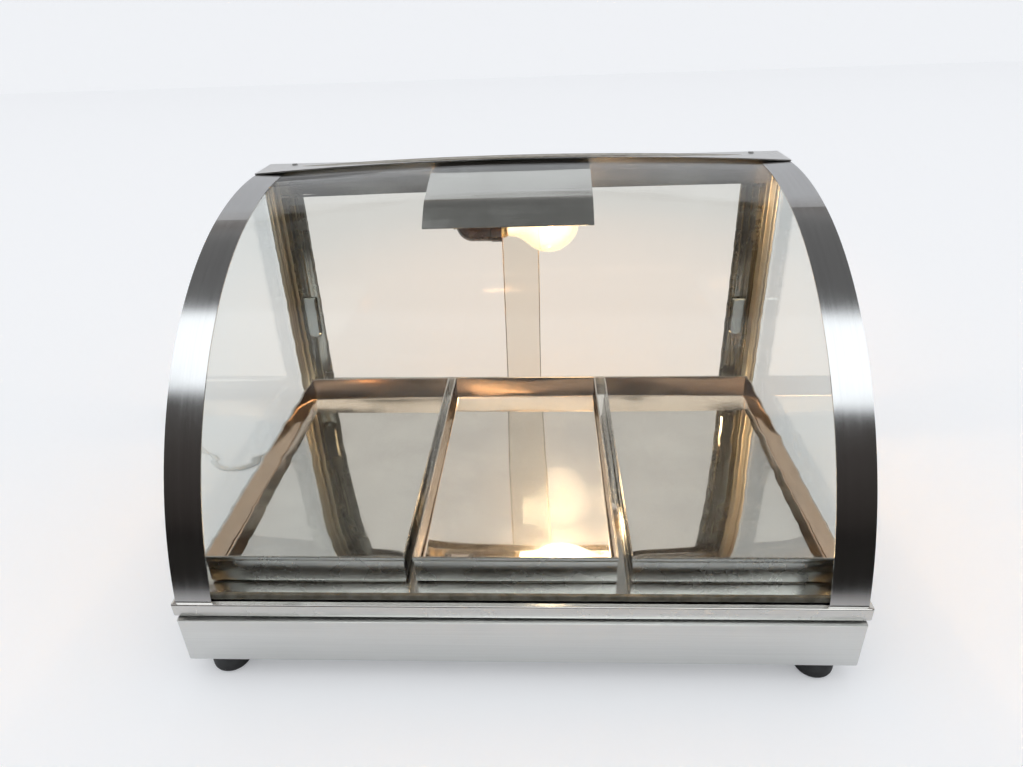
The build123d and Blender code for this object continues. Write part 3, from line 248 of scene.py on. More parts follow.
brushing, entry, leave = make_group(
    "brushing",
    [("Grain", "Vector", None), ("Roughness", "Float", 0.25), ("Spread", "Float", 0.06),
     ("Depth", "Float", 0.1)],
    [("Roughness", "Float", None), ("Tone", "Float", None), ("Normal", "Vector", None)])
fine = add_node(brushing, "TexNoise", Vector=entry["Grain"], Scale=1.0, Detail=5.0, Roughness=0.65)
broad = add_node(brushing, "TexNoise", Vector=entry["Grain"], Scale=0.13, Detail=3.0, Roughness=0.55)
line = calculate(brushing, "MULTIPLY_ADD", fine.outputs["Fac"], 0.6,
                 calculate(brushing, "MULTIPLY", broad.outputs["Fac"], 0.4))
centred = calculate(brushing, "SUBTRACT", line, 0.5)
rough = calculate(brushing, "MULTIPLY_ADD", centred, entry["Spread"], entry["Roughness"])
brushing.links.new(rough, leave["Roughness"])
brushing.links.new(line, leave["Tone"])
scratch = add_node(brushing, "Bump", Strength=entry["Depth"], Distance=0.0002, Height=line)
brushing.links.new(scratch.outputs["Normal"], leave["Normal"])

handling, entry, leave = make_group(
    "handling",
    [("Place", "Vector", None), ("Size", "Float", 30.0), ("Amount", "Float", 0.1)],
    [("Mask", "Float", None)])
patches = add_node(handling, "TexNoise", Vector=entry["Place"], Scale=entry["Size"],
                   Detail=4.0, Roughness=0.6)
soft = fade(handling, patches.outputs["Fac"], 0.38, 0.68)
handling.links.new(calculate(handling, "MULTIPLY", soft, entry["Amount"]), leave["Mask"])


def along(tree, x, y, z):
    """Object coordinates stretched for a grain: a small number runs along the lines."""
    place = add_node(tree, "TexCoord").outputs["Object"]
    return place, add_node(tree, "Mapping", Vector=place, Scale=(x, y, z)).outputs["Vector"]


def brushed(name, stretch, colour, roughness, spread=0.10, depth=0.10, smudge=0.06, tone=0.10):
    """Brushed stainless steel, with lines that run along the axis of the smallest stretch."""
    material, tree, output = start_material(name)
    place, grain = along(tree, *stretch)
    lines = use_group(tree, brushing, Grain=grain, Roughness=roughness, Spread=spread, Depth=depth)
    marks = use_group(tree, handling, Place=place, Size=26.0, Amount=smudge)
    dark = tuple(part * (1 - tone) for part in colour[:3]) + (1.0,)
    tint = ramp(tree, lines["Tone"], (0.30, dark), (0.70, colour))
    steel = add_node(tree, "BsdfPrincipled", Base_Color=tint, Metallic=1.0, Normal=lines["Normal"],
                     Roughness=calculate(tree, "ADD", lines["Roughness"], marks["Mask"]))
    tree.links.new(steel.outputs[0], output.inputs["Surface"])
    return material


def finish_nodes(material, *names):
    """Give CAD nodes their material."""
    for name in names:
        mesh = nodes[name].data
        mesh.materials.clear()
        mesh.materials.append(material)


def merged_copy(node, name, whole_faces=True):
    """A copy of a CAD node's mesh at its place, with doubled points merged and flat faces whole."""
    bpy.ops.object.select_all(action="DESELECT")
    piece = nodes[node].copy()
    piece.data = nodes[node].data.copy()
    piece.name = name
    piece.parent = None
    piece.matrix_world = nodes[node].matrix_world
    scene.collection.objects.link(piece)
    piece.select_set(True)
    bpy.context.view_layer.objects.active = piece
    bpy.ops.object.transform_apply(location=True, rotation=True, scale=True)
    bpy.ops.object.mode_set(mode="EDIT")
    bpy.ops.mesh.select_all(action="SELECT")
    bpy.ops.mesh.remove_doubles(threshold=0.000002)
    bpy.ops.mesh.customdata_custom_splitnormals_clear()
    if whole_faces:
        bpy.ops.mesh.dissolve_limited(angle_limit=radians(0.8))
    bpy.ops.object.mode_set(mode="OBJECT")
    return piece


def stand_for(piece, node, material, body):
    """Let a copy stand for its CAD node, with its material and body, hiding the node."""
    bpy.ops.object.shade_smooth_by_angle(angle=radians(32))
    piece.data.materials.clear()
    piece.data.materials.append(material)
    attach(piece, body)
    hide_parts(node)


def eased_copy(node, name, material, width, body="case"):
    """A copy of a CAD node whose folds and edges are rounded, which stands for the node."""
    piece = merged_copy(node, name)
    easing = piece.modifiers.new("eased_folds", "BEVEL")
    easing.width = width
    easing.segments = 3
    easing.limit_method = "ANGLE"
    easing.angle_limit = radians(35)
    bpy.ops.object.modifier_apply(modifier=easing.name)
    stand_for(piece, node, material, body)
    return piece


base_steel = brushed("base_steel", (10.0, 900.0, 900.0), (0.93, 0.94, 0.92, 1.0), 0.30,
                     spread=0.12, depth=0.12)
eased_copy("base_shell", "base_shell_folded", base_steel, 0.0009)
inner_steel = brushed("inner_steel", (40.0, 500.0, 500.0), (0.45, 0.45, 0.44, 1.0), 0.42)
finish_nodes(inner_steel, "bottom_plate", "heat_reflector", "heater_brackets", "sensor_clips")


# Deck
# The floor of the heated space: one polished stainless sheet with a narrow rim folded down all
# round, standing on the base shell. It is the mirror under the trays.
def polished(name, colour, roughness, wave, wave_size, smudge):
    """Polished stainless sheet, a little wavy, with faint smears."""
    material, tree, output = start_material(name)
    place = add_node(tree, "TexCoord").outputs["Object"]
    marks = use_group(tree, handling, Place=place, Size=34.0, Amount=smudge)
    sheet_wave = add_node(tree, "TexNoise", Vector=place, Scale=wave_size, Detail=1.0, Roughness=0.4)
    buckle = add_node(tree, "Bump", Strength=0.6, Distance=wave, Height=sheet_wave.outputs["Fac"])
    smear = add_node(tree, "TexNoise", Vector=place, Scale=14.0, Detail=3.0)
    darker = tuple(part * 0.90 for part in colour[:3]) + (1.0,)
    tint = ramp(tree, smear.outputs["Fac"], (0.35, darker), (0.65, colour))
    steel = add_node(tree, "BsdfPrincipled", Base_Color=tint, Metallic=1.0,
                     Normal=buckle.outputs["Normal"],
                     Roughness=calculate(tree, "ADD", marks["Mask"], roughness))
    tree.links.new(steel.outputs[0], output.inputs["Surface"])
    return material


deck_steel = polished("deck_steel", (0.84, 0.81, 0.765, 1.0), 0.07,
                      wave=0.0012, wave_size=9.0, smudge=0.10)
rim_steel = brushed("rim_steel", (10.0, 900.0, 900.0), (0.84, 0.83, 0.80, 1.0), 0.24,
                    spread=0.10, depth=0.08)
deck = eased_copy("deck", "deck_folded", deck_steel, 0.0004)
deck.data.materials.append(rim_steel)
for face in deck.data.polygons:
    folded_down = abs(face.normal.z) < 0.6
    face.material_index = int(folded_down)


# Feet
# Four black rubber feet with a softly rounded tread, and a recess in it for the head of the screw
# that holds each to the floor of the base.
FOOT_RADIUS = 0.0125
FOOT_HEIGHT = 0.015
FOOT_ROUND = 0.0042
FOOT_RECESS_RADIUS = 0.005
FOOT_RECESS_DEPTH = 0.005
FOOT_EDGE = 0.0006
FOOT_PLACES = [(x, y) for x in (-0.1944, 0.1944) for y in (-0.1502, 0.132)]

rubber, tree, output = start_material("rubber")
place = add_node(tree, "TexCoord").outputs["Object"]
grain = add_node(tree, "TexNoise", Vector=place, Scale=900.0, Detail=2.0)
dust = use_group(tree, handling, Place=place, Size=90.0, Amount=0.10)
skin = add_node(tree, "Bump", Strength=0.15, Distance=0.0002, Height=grain.outputs["Fac"])
tint = ramp(tree, dust["Mask"], (0.0, rgb(20, 21, 23)), (0.10, rgb(40, 41, 42)))
body = add_node(tree, "BsdfPrincipled", Base_Color=tint, Roughness=0.55, Normal=skin.outputs["Normal"])
tree.links.new(body.outputs[0], output.inputs["Surface"])


def turned(profile, x, y):
    """A piece turned about an upright line: a point is drawn along a profile, then spun round."""
    bpy.ops.object.select_all(action="DESELECT")
    radius, height = profile[0]
    bpy.ops.mesh.primitive_plane_add(size=0.01, location=(x + radius, y, height))
    bpy.ops.object.transform_apply(location=True)
    bpy.ops.object.mode_set(mode="EDIT")
    bpy.ops.mesh.select_all(action="SELECT")
    bpy.ops.mesh.merge(type="CENTER")
    for (radius, height), (next_radius, next_height) in zip(profile, profile[1:]):
        step = (next_radius - radius, 0.0, next_height - height)
        bpy.ops.mesh.extrude_region_move(TRANSFORM_OT_translate={"value": step})
    bpy.ops.mesh.select_all(action="SELECT")
    bpy.ops.mesh.spin(steps=64, angle=radians(360), center=(x, y, 0.0), axis=(0.0, 0.0, 1.0),
                      use_auto_merge=True)
    bpy.ops.mesh.select_all(action="SELECT")
    bpy.ops.mesh.remove_doubles(threshold=0.000005)
    bpy.ops.mesh.normals_make_consistent(inside=False)
    bpy.ops.object.mode_set(mode="OBJECT")
    bpy.ops.object.shade_smooth_by_angle(angle=radians(35))
    return bpy.context.object


def join(pieces, name):
    """Several meshes made one piece."""
    bpy.ops.object.select_all(action="DESELECT")
    for piece in pieces:
        piece.select_set(True)
    bpy.context.view_layer.objects.active = pieces[0]
    bpy.ops.object.join()
    pieces[0].name = name
    return pieces[0]


recess = [(0.0, FOOT_RECESS_DEPTH), (FOOT_RECESS_RADIUS, FOOT_RECESS_DEPTH),
          (FOOT_RECESS_RADIUS, FOOT_EDGE), (FOOT_RECESS_RADIUS + FOOT_EDGE, 0.0)]
tread = [(FOOT_RADIUS - FOOT_ROUND * (1 - sin(radians(turn))), FOOT_ROUND * (1 - cos(radians(turn))))
         for turn in range(0, 91, 15)]
top = [(FOOT_RADIUS, FOOT_HEIGHT - FOOT_EDGE), (FOOT_RADIUS - FOOT_EDGE, FOOT_HEIGHT), (0.0, FOOT_HEIGHT)]
feet = join([turned(recess + tread + top, x, y) for x, y in FOOT_PLACES], "turned_feet")
feet.data.materials.append(rubber)
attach(feet, "case")
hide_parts("rubber_feet")

fastener = brushed("fastener", (300.0, 300.0, 300.0), (0.5, 0.5, 0.49, 1.0), 0.28)
finish_nodes(fastener, "foot_screws", "foot_nuts", "side_screws", "top_screws", "shade_screws")


# Bands
# Two strips of brushed stainless, rolled to the curve of the glass, with a flange folded back over
# each end pane. The grain runs along the curve and smears its bright reflections.
band_steel = brushed("band_steel", (1500.0, 5.0, 5.0), (0.62, 0.62, 0.62, 1.0), 0.135,
                     spread=0.14, depth=0.14, smudge=0.03, tone=0.14)
finish_nodes(band_steel, "left_band", "right_band")


# Frame
# Rear posts, header and sill, each folded from thin stainless and closed by the top plate, whose
# front edge is bowed up in the middle. The lamp's warm light runs down the folds. The posts' yellow
# colour and dark streaks are painted light: painted gold reflections of the lamp and painted streaks.
def streaked(name, colour, roughness, streak, depth, tone):
    """Drawn steel whose long shallow draw lines split its reflections into upright streaks. Its tone
    darkens the colour along the same lines, which paints streaks of reflection in as well.
    """
    material, tree, output = start_material(name)
    place, grain = along(tree, *streak)
    draw = add_node(tree, "TexNoise", Vector=grain, Scale=1.0, Detail=2.0, Roughness=0.5)
    finer = add_node(tree, "Mapping", Vector=grain, Scale=(9.0, 9.0, 2.0)).outputs["Vector"]
    fine = use_group(tree, brushing, Grain=finer, Roughness=roughness, Spread=0.10, Depth=0.10)
    marks = use_group(tree, handling, Place=place, Size=50.0, Amount=0.05)
    lines = add_node(tree, "Bump", Strength=1.0, Distance=depth, Height=draw.outputs["Fac"],
                     Normal=fine["Normal"])
    dark = tuple(part * (1 - tone) for part in colour[:3]) + (1.0,)
    tint = ramp(tree, draw.outputs["Fac"], (0.36, dark), (0.62, colour))
    steel = add_node(tree, "BsdfPrincipled", Base_Color=tint, Metallic=1.0,
                     Normal=lines.outputs["Normal"],
                     Roughness=calculate(tree, "ADD", fine["Roughness"], marks["Mask"]))
    tree.links.new(steel.outputs[0], output.inputs["Surface"])
    return material


# Painted light: the yellow colour paints the lamp's gold reflections, and tone 0.6 paints dark streaks of
# reflection
frame_steel_painted_gold = streaked("frame_steel_painted_gold", (0.92, 0.88, 0.75, 1.0), 0.34,
                       streak=(210.0, 210.0, 1.6), depth=0.0030, tone=0.6)
header_steel = brushed("header_steel", (6.0, 900.0, 900.0), (0.84, 0.80, 0.745, 1.0), 0.20,
                       spread=0.14, depth=0.16, tone=0.25)
plate_steel = brushed("plate_steel", (8.0, 900.0, 900.0), (0.93, 0.925, 0.91, 1.0), 0.28,
                      spread=0.10, depth=0.08)
for side in ("left", "right"):
    eased_copy(f"{side}_post", f"{side}_post_folded", frame_steel_painted_gold, 0.0005)
eased_copy("rear_header", "rear_header_folded", header_steel, 0.0004)
eased_copy("top_plate", "top_plate_folded", plate_steel, 0.0003)
finish_nodes(header_steel, "rear_sill", "lamp_bracket")


# Doors
# Two panes that slide past each other in the header and sill, each with a folded steel stile over
# its outer edge and a pressed finger pull let into it.
# Painted light as on the posts: tone 0.5 paints dark streaks of reflection along the draw lines
stile_steel = streaked("stile_steel", (0.70, 0.69, 0.62, 1.0), 0.24,
                       streak=(190.0, 190.0, 2.0), depth=0.0020, tone=0.5)
pull_steel = brushed("pull_steel", (500.0, 500.0, 60.0), (0.52, 0.53, 0.50, 1.0), 0.16,
                     spread=0.06, depth=0.05)
for side in ("left", "right"):
    eased_copy(f"{side}_door_stile", f"{side}_stile_folded", stile_steel, 0.0004, body=f"{side}_door")
finish_nodes(pull_steel, "left_door_pull", "right_door_pull")


# Glass
# Clear panes 3 mm thick: one bent sheet in front, two ends cut to its curve, and the two doors with
# ground edges. Thin beads of sealant hold the fixed ones.
def clear_glass(name, colour, sheen=1.0):
    """Clear glass that lets light through to what stands in it. Sheen scales its mirror face on."""
    material, tree, output = start_material(name)
    pane = add_node(tree, "BsdfPrincipled", Base_Color=colour, Roughness=0.0, IOR=1.45,
                    Transmission_Weight=1.0, Specular_Tint=(sheen, sheen, sheen, 1.0))
    through = add_node(tree, "BsdfTransparent", Color=colour)
    path = add_node(tree, "LightPath")
    mix = add_node(tree, "MixShader", i0=path.outputs["Is Shadow Ray"],
                   i1=pane.outputs[0], i2=through.outputs[0])
    tree.links.new(mix.outputs[0], output.inputs["Surface"])
    return material


def ground_edge(material, edge_x, side):
    """Give a pane's glass a ground edge: a thin dull strip along its free upright edge."""
    tree = material.node_tree
    output = next(node for node in tree.nodes if node.bl_idname == "ShaderNodeOutputMaterial")
    pane = output.inputs["Surface"].links[0].from_socket
    place = add_node(tree, "SeparateXYZ", Vector=add_node(tree, "TexCoord").outputs["Object"])
    reach = calculate(tree, "MULTIPLY", calculate(tree, "SUBTRACT", place.outputs["X"], edge_x), side)
    strip = fade(tree, reach, -0.0008, -0.0005)
    ground = add_node(tree, "BsdfPrincipled", Base_Color=(0.20, 0.19, 0.15, 1.0), Roughness=0.35)
    mix = add_node(tree, "MixShader", i0=strip, i1=pane, i2=ground.outputs[0])
    tree.links.new(mix.outputs[0], output.inputs["Surface"])
    return material


case_glass = clear_glass("case_glass", (0.905, 0.92, 0.905, 1.0), sheen=0.25)
finish_nodes(case_glass, "left_side_glass", "right_side_glass")
# The doors' warm tint is painted light: it stands in for the lamp's warm glow seen through them
for door, edge_x, way in (("left_door_glass", 0.0158, 1), ("right_door_glass", -0.0172, -1)):
    finish_nodes(ground_edge(clear_glass(door, (0.92, 0.885, 0.825, 1.0)), edge_x, way), door)

BOW_RISE = 0.0066
BOW_LENGTH = 0.110
HALF_LENGTH = 0.217
# Every 20 mm, and a little aside, so that no cut runs through a corner
BOW_CUTS = [strip * 0.02 + 0.0003 for strip in range(-10, 11)]


def bowed_copy(node, name):
    """A copy of a CAD node whose rear end arches up in the middle, to meet the top plate's bow."""
    piece = merged_copy(node, name, whole_faces=False)
    bpy.ops.object.mode_set(mode="EDIT")
    for cut_x in BOW_CUTS:
        bpy.ops.mesh.select_all(action="SELECT")
        bpy.ops.mesh.bisect(plane_co=(cut_x, 0.0, 0.0), plane_no=(1.0, 0.0, 0.0))
    bpy.ops.object.mode_set(mode="OBJECT")
    for vertex in piece.data.vertices:
        share = min(max(vertex.co.y / BOW_LENGTH, 0.0), 1.0)
        eased = share * share * (3 - 2 * share)
        vertex.co.z += BOW_RISE * eased * (1 - (vertex.co.x / HALF_LENGTH) ** 2)
    return piece


front_glass = bowed_copy("front_glass", "front_glass_bent")
stand_for(front_glass, "front_glass", case_glass, "case")

sealant, tree, output = start_material("sealant")
place = add_node(tree, "TexCoord").outputs["Object"]
lumps = add_node(tree, "TexNoise", Vector=place, Scale=160.0, Detail=2.0)
skin = add_node(tree, "Bump", Strength=0.3, Distance=0.0004, Height=lumps.outputs["Fac"])
tint = ramp(tree, lumps.outputs["Fac"], (0.3, rgb(128, 122, 108)), (0.7, rgb(168, 162, 148)))
bead = add_node(tree, "BsdfPrincipled", Base_Color=tint, Roughness=0.3, Normal=skin.outputs["Normal"])
tree.links.new(bead.outputs[0], output.inputs["Surface"])
finish_nodes(sealant, "front_seal", "left_seal", "right_seal")
top_seal = bowed_copy("top_seal", "top_seal_bowed")
stand_for(top_seal, "top_seal", sealant, "case")


# Lamp
# A clear screw bulb in a dark moulded holder, lying along the header, under a bent steel shade. The
# filament lights the case and turns the steel round it gold.
LAMP_PLACE = (0.0245, 0.088, 0.234)
GLOW_FACE_ON = 0.55
GLOW_AT_RIM = 0.03
GLARE_IN_STEEL = 42.0
PANE_FACES = 2

# The bulb's glow is strongest face on. Seen in steel outside the bulb it glares as the bare filament
# would: such a ray comes from a mirror and has gone through one pane at most.
glow, tree, output = start_material("lit_bulb")
facing = add_node(tree, "LayerWeight", Blend=0.35)
inner = calculate(tree, "SUBTRACT", 1.0, facing.outputs["Facing"])
seen_bare = calculate(tree, "MULTIPLY_ADD", calculate(tree, "POWER", inner, 3.0), GLOW_FACE_ON, GLOW_AT_RIM)
path = add_node(tree, "LightPath")
outside = calculate(tree, "LESS_THAN", path.outputs["Transmission Depth"], PANE_FACES + 0.5)
reflected = calculate(tree, "SUBTRACT", path.outputs["Is Glossy Ray"], path.outputs["Is Transmission Ray"])
mirrored = calculate(tree, "MULTIPLY", calculate(tree, "MAXIMUM", reflected, 0.0), outside)
glare = calculate(tree, "MULTIPLY_ADD", mirrored, GLARE_IN_STEEL, 1.0)
envelope = add_node(tree, "BsdfPrincipled", Base_Color=(0.97, 0.91, 0.77, 1.0), Roughness=0.0, IOR=1.45,
                    Transmission_Weight=1.0, Emission_Color=(1.0, 0.82, 0.56, 1.0),
                    Emission_Strength=calculate(tree, "MULTIPLY", seen_bare, glare))
through = add_node(tree, "BsdfTransparent", Color=(1.0, 0.97, 0.9, 1.0))
mix = add_node(tree, "MixShader", i0=path.outputs["Is Shadow Ray"],
               i1=envelope.outputs[0], i2=through.outputs[0])
tree.links.new(mix.outputs[0], output.inputs["Surface"])
# The case's light comes from lamp_light below, so this faint glow isn't sampled as a lamp.
glow.cycles.emission_sampling = "NONE"
finish_nodes(glow, "bulb_glass")
finish_nodes(clear_glass("stem_glass", (1.0, 0.98, 0.94, 1.0)), "bulb_stem")

wire, tree, output = start_material("hot_filament")
coil = add_node(tree, "TexNoise", Vector=add_node(tree, "TexCoord").outputs["Object"], Scale=2000.0)
heat = ramp(tree, coil.outputs["Fac"], (0.3, (1.0, 0.55, 0.22, 1.0)), (0.7, (1.0, 0.72, 0.40, 1.0)))
tungsten = add_node(tree, "BsdfPrincipled", Base_Color=(0.3, 0.3, 0.3, 1.0), Roughness=0.5,
                    Emission_Color=heat, Emission_Strength=30.0)
tree.links.new(tungsten.outputs[0], output.inputs["Surface"])
finish_nodes(wire, "bulb_filament")

# The filament's light. Steel mirrors its disc, but it isn't seen through the bulb's glass.
lamp_light = bpy.data.lights.new("lamp_light", "POINT")
lamp_light.energy = 0.9
lamp_light.color = (1.0, 0.60, 0.30)
lamp_light.shadow_soft_size = 0.009
lamp = bpy.data.objects.new("lamp_light", lamp_light)
lamp.location = LAMP_PLACE
scene.collection.objects.link(lamp)
lamp.visible_transmission = False

# The warm pool of light that the lamp throws on the paper behind the case
glow_light = bpy.data.lights.new("glow_on_the_paper", "SPOT")
glow_light.energy = 7.5
glow_light.color = (1.0, 0.44, 0.10)
glow_light.spot_size = radians(62)
glow_light.spot_blend = 1.0
glow_light.shadow_soft_size = 0.10
glow_spot = bpy.data.objects.new("glow_on_the_paper", glow_light)
glow_spot.location = (0.03, 0.62, 0.95)
glow_spot.visible_glossy = False
scene.collection.objects.link(glow_spot)

brass, tree, output = start_material("brass")
place = add_node(tree, "TexCoord").outputs["Object"]
marks = use_group(tree, handling, Place=place, Size=120.0, Amount=0.15)
tint = ramp(tree, marks["Mask"], (0.0, (0.78, 0.55, 0.24, 1.0)), (0.15, (0.55, 0.36, 0.16, 1.0)))
metal = add_node(tree, "BsdfPrincipled", Base_Color=tint, Metallic=1.0,
                 Roughness=calculate(tree, "ADD", marks["Mask"], 0.2))
tree.links.new(metal.outputs[0], output.inputs["Surface"])
finish_nodes(brass, "bulb_cap", "plug_pins", "sensing_bulb")


def moulded(name, dark, light, roughness, grain=500.0):
    """A moulded plastic skin with a fine grain and faint finger marks."""
    material, tree, output = start_material(name)
    place = add_node(tree, "TexCoord").outputs["Object"]
    pores = add_node(tree, "TexNoise", Vector=place, Scale=grain, Detail=3.0)
    skin = add_node(tree, "Bump", Strength=0.08, Distance=0.0003, Height=pores.outputs["Fac"])
    marks = use_group(tree, handling, Place=place, Size=60.0, Amount=0.12)
    tint = ramp(tree, marks["Mask"], (0.0, dark), (0.12, light))
    body = add_node(tree, "BsdfPrincipled", Base_Color=tint, Normal=skin.outputs["Normal"],
                    Roughness=calculate(tree, "ADD", marks["Mask"], roughness))
    tree.links.new(body.outputs[0], output.inputs["Surface"])
    return material


finish_nodes(moulded("bakelite", rgb(56, 38, 27), rgb(78, 54, 38), 0.18), "lamp_holder")

shade_steel = brushed("shade_steel", (12.0, 900.0, 900.0), (0.72, 0.70, 0.68, 1.0), 0.10,
                      spread=0.06, depth=0.05)
SHADE_TOP = (0.110, 0.2735)
SHADE_EDGE = (0.035, 0.244)
SHADE_CAD_MIDDLE = (0.10995, 0.13897)
SHADE_CAD_RADIUS = 0.129
SHADE_SLOPES = (0.268, 0.80)
SHADE_BEND_SOFTNESS = 0.0008
SHADE_STRIP = 0.0025
SHADE_FIXING_START = 0.012
SHADE_FIXING_LENGTH = 0.008


def shade_height(y):
    """Height of the bent shade's outer face: a shallow flap, a soft bend, then a steeper one."""
    flap = SHADE_TOP[1] - SHADE_SLOPES[0] * (SHADE_TOP[0] - y)
    skirt = SHADE_EDGE[1] + SHADE_SLOPES[1] * (y - SHADE_EDGE[0])
    share = exp(-abs(flap - skirt) / SHADE_BEND_SOFTNESS)
    return min(flap, skirt) - SHADE_BEND_SOFTNESS * log(1 + share)


shade = merged_copy("lamp_shade", "lamp_shade_bent", whole_faces=False)
bpy.ops.object.mode_set(mode="EDIT")
for strip in range(1, 30):
    bpy.ops.mesh.select_all(action="SELECT")
    bpy.ops.mesh.bisect(plane_co=(0.0, SHADE_EDGE[0] + strip * SHADE_STRIP, 0.0), plane_no=(0.0, 1.0, 0.0))
bpy.ops.object.mode_set(mode="OBJECT")
for vertex in shade.data.vertices:
    y = min(vertex.co.y, SHADE_TOP[0])
    rolled = SHADE_CAD_MIDDLE[1] + sqrt(SHADE_CAD_RADIUS ** 2 - (y - SHADE_CAD_MIDDLE[0]) ** 2)
    past_bend = vertex.co.y - SHADE_TOP[0] - SHADE_FIXING_START
    fixing = min(max(past_bend / SHADE_FIXING_LENGTH, 0.0), 1.0)
    vertex.co.z += (shade_height(y) - rolled) * (1 - fixing)
stand_for(shade, "lamp_shade", shade_steel, "case")


# Trays
# Three loose pans folded from thin stainless, open at the top, with a hem turned outwards round the
# rim. Use has scratched their floors. Their inner walls are painted brown, a painted warm light and
# reflection of the lamp, and their outer walls are painted darker, a painted shade.
TRAY_HEIGHT = 0.0213
TRAY_LENGTH = 0.2455
TRAY_WIDTH = 0.1313
TRAY_MIDDLE_Y = -0.0156
TRAY_WALL = 0.0008
TRAY_CORNER = 0.003
TRAY_FLOOR_ROUND = 0.0022
TRAY_EDGE = 0.00022
HEM_DEPTH = 0.0035
HEM_OUT = 0.0007
DECK_Z = 0.060
TRAY_RIM_Z = DECK_Z + TRAY_HEIGHT - 0.0006
RIM_LOOKS_UP = 0.7
FLOOR_LOOKS_UP = 0.92
TRAY_MIDDLES = {"left": -0.1356, "middle": 0.00085, "right": 0.14005}

rubbing, entry, leave = make_group(
    "rubbing",
    [("Place", "Vector", None), ("Size", "Float", 5000.0), ("Amount", "Float", 0.4)],
    [("Roughness", "Float", None)])
scratches = add_node(rubbing, "TexNoise", Vector=entry["Place"], Scale=entry["Size"], Detail=0.0)
scratched = fade(rubbing, scratches.outputs["Fac"], 0.62, 0.66)
rubbing.links.new(calculate(rubbing, "MULTIPLY", scratched, entry["Amount"]), leave["Roughness"])


def dished(name, colour, roughness, middle_x):
    """A tray's polished floor: wavy, rising to its sides and falling a little to the front."""
    material, tree, output = start_material(name)
    place = add_node(tree, "TexCoord").outputs["Object"]
    centred = add_node(tree, "Mapping", Vector=place, Location=(-middle_x, -TRAY_MIDDLE_Y, 0.0))
    from_middle = add_node(tree, "SeparateXYZ", Vector=centred.outputs["Vector"]).outputs
    across = calculate(tree, "ABSOLUTE", calculate(tree, "MULTIPLY", from_middle["X"], 2 / TRAY_WIDTH))
    forward = calculate(tree, "MULTIPLY", from_middle["Y"], -2 / TRAY_LENGTH)
    rise = calculate(tree, "POWER", across, 9.0)
    to_front = calculate(tree, "MAXIMUM", forward, 0.0)
    fall = calculate(tree, "MULTIPLY", calculate(tree, "POWER", to_front, 6.0), -3.0)
    swell = add_node(tree, "TexNoise", Vector=place, Scale=11.0, Detail=1.0, Roughness=0.4)
    height = calculate(tree, "MULTIPLY_ADD", swell.outputs["Fac"], 0.30,
                       calculate(tree, "MULTIPLY", calculate(tree, "ADD", rise, fall), 0.5))
    buckle = add_node(tree, "Bump", Strength=1.0, Distance=0.0011, Height=height)
    marks = use_group(tree, handling, Place=place, Size=30.0, Amount=0.03)
    smear = add_node(tree, "TexNoise", Vector=place, Scale=18.0, Detail=4.0)
    darker = tuple(part * 0.92 for part in colour[:3]) + (1.0,)
    tint = ramp(tree, smear.outputs["Fac"], (0.35, darker), (0.65, colour))
    scratches = use_group(tree, rubbing, Place=place, Size=5000.0, Amount=0.38)
    rough = calculate(tree, "ADD", calculate(tree, "ADD", marks["Mask"], roughness), scratches["Roughness"])
    steel = add_node(tree, "BsdfPrincipled", Base_Color=tint, Metallic=1.0, Roughness=rough,
                     Normal=buckle.outputs["Normal"])
    tree.links.new(steel.outputs[0], output.inputs["Surface"])
    return material


def open_box(piece, floor):
    """Take off a box's top, and its bottom where it has no floor, round its corners and thicken it."""
    bpy.ops.object.select_all(action="DESELECT")
    piece.select_set(True)
    bpy.context.view_layer.objects.active = piece
    bpy.ops.object.mode_set(mode="EDIT")
    bpy.ops.mesh.select_all(action="DESELECT")
    mesh = bmesh.from_edit_mesh(piece.data)
    for face in mesh.faces:
        face.select_set(face.normal.z > 0.5 or (not floor and face.normal.z < -0.5))
    bmesh.update_edit_mesh(piece.data)
    bpy.ops.mesh.delete(type="ONLY_FACE")
    mesh = bmesh.from_edit_mesh(piece.data)
    for edge in mesh.edges:
        edge.select_set(abs(edge.verts[0].co.z - edge.verts[1].co.z) > HEM_DEPTH / 2)
    bmesh.update_edit_mesh(piece.data)
    bpy.ops.mesh.bevel(offset=TRAY_CORNER + (0.0 if floor else HEM_OUT), segments=5, affect="EDGES")
    if floor:
        bpy.ops.mesh.select_all(action="DESELECT")
        mesh = bmesh.from_edit_mesh(piece.data)
        for edge in mesh.edges:
            edge.select_set(all(vertex.co.z < DECK_Z + 0.0001 for vertex in edge.verts))
        bmesh.update_edit_mesh(piece.data)
        bpy.ops.mesh.bevel(offset=TRAY_FLOOR_ROUND, segments=4, affect="EDGES")
    bpy.ops.object.mode_set(mode="OBJECT")
    wall = piece.modifiers.new("wall", "SOLIDIFY")
    wall.thickness = TRAY_WALL if floor else HEM_OUT
    wall.offset = -1.0
    bpy.ops.object.modifier_apply(modifier=wall.name)
    easing = piece.modifiers.new("eased_edges", "BEVEL")
    easing.width = TRAY_EDGE
    easing.segments = 2
    easing.limit_method = "ANGLE"
    easing.angle_limit = radians(60)
    bpy.ops.object.modifier_apply(modifier=easing.name)
    bpy.ops.object.shade_smooth_by_angle(angle=radians(40))


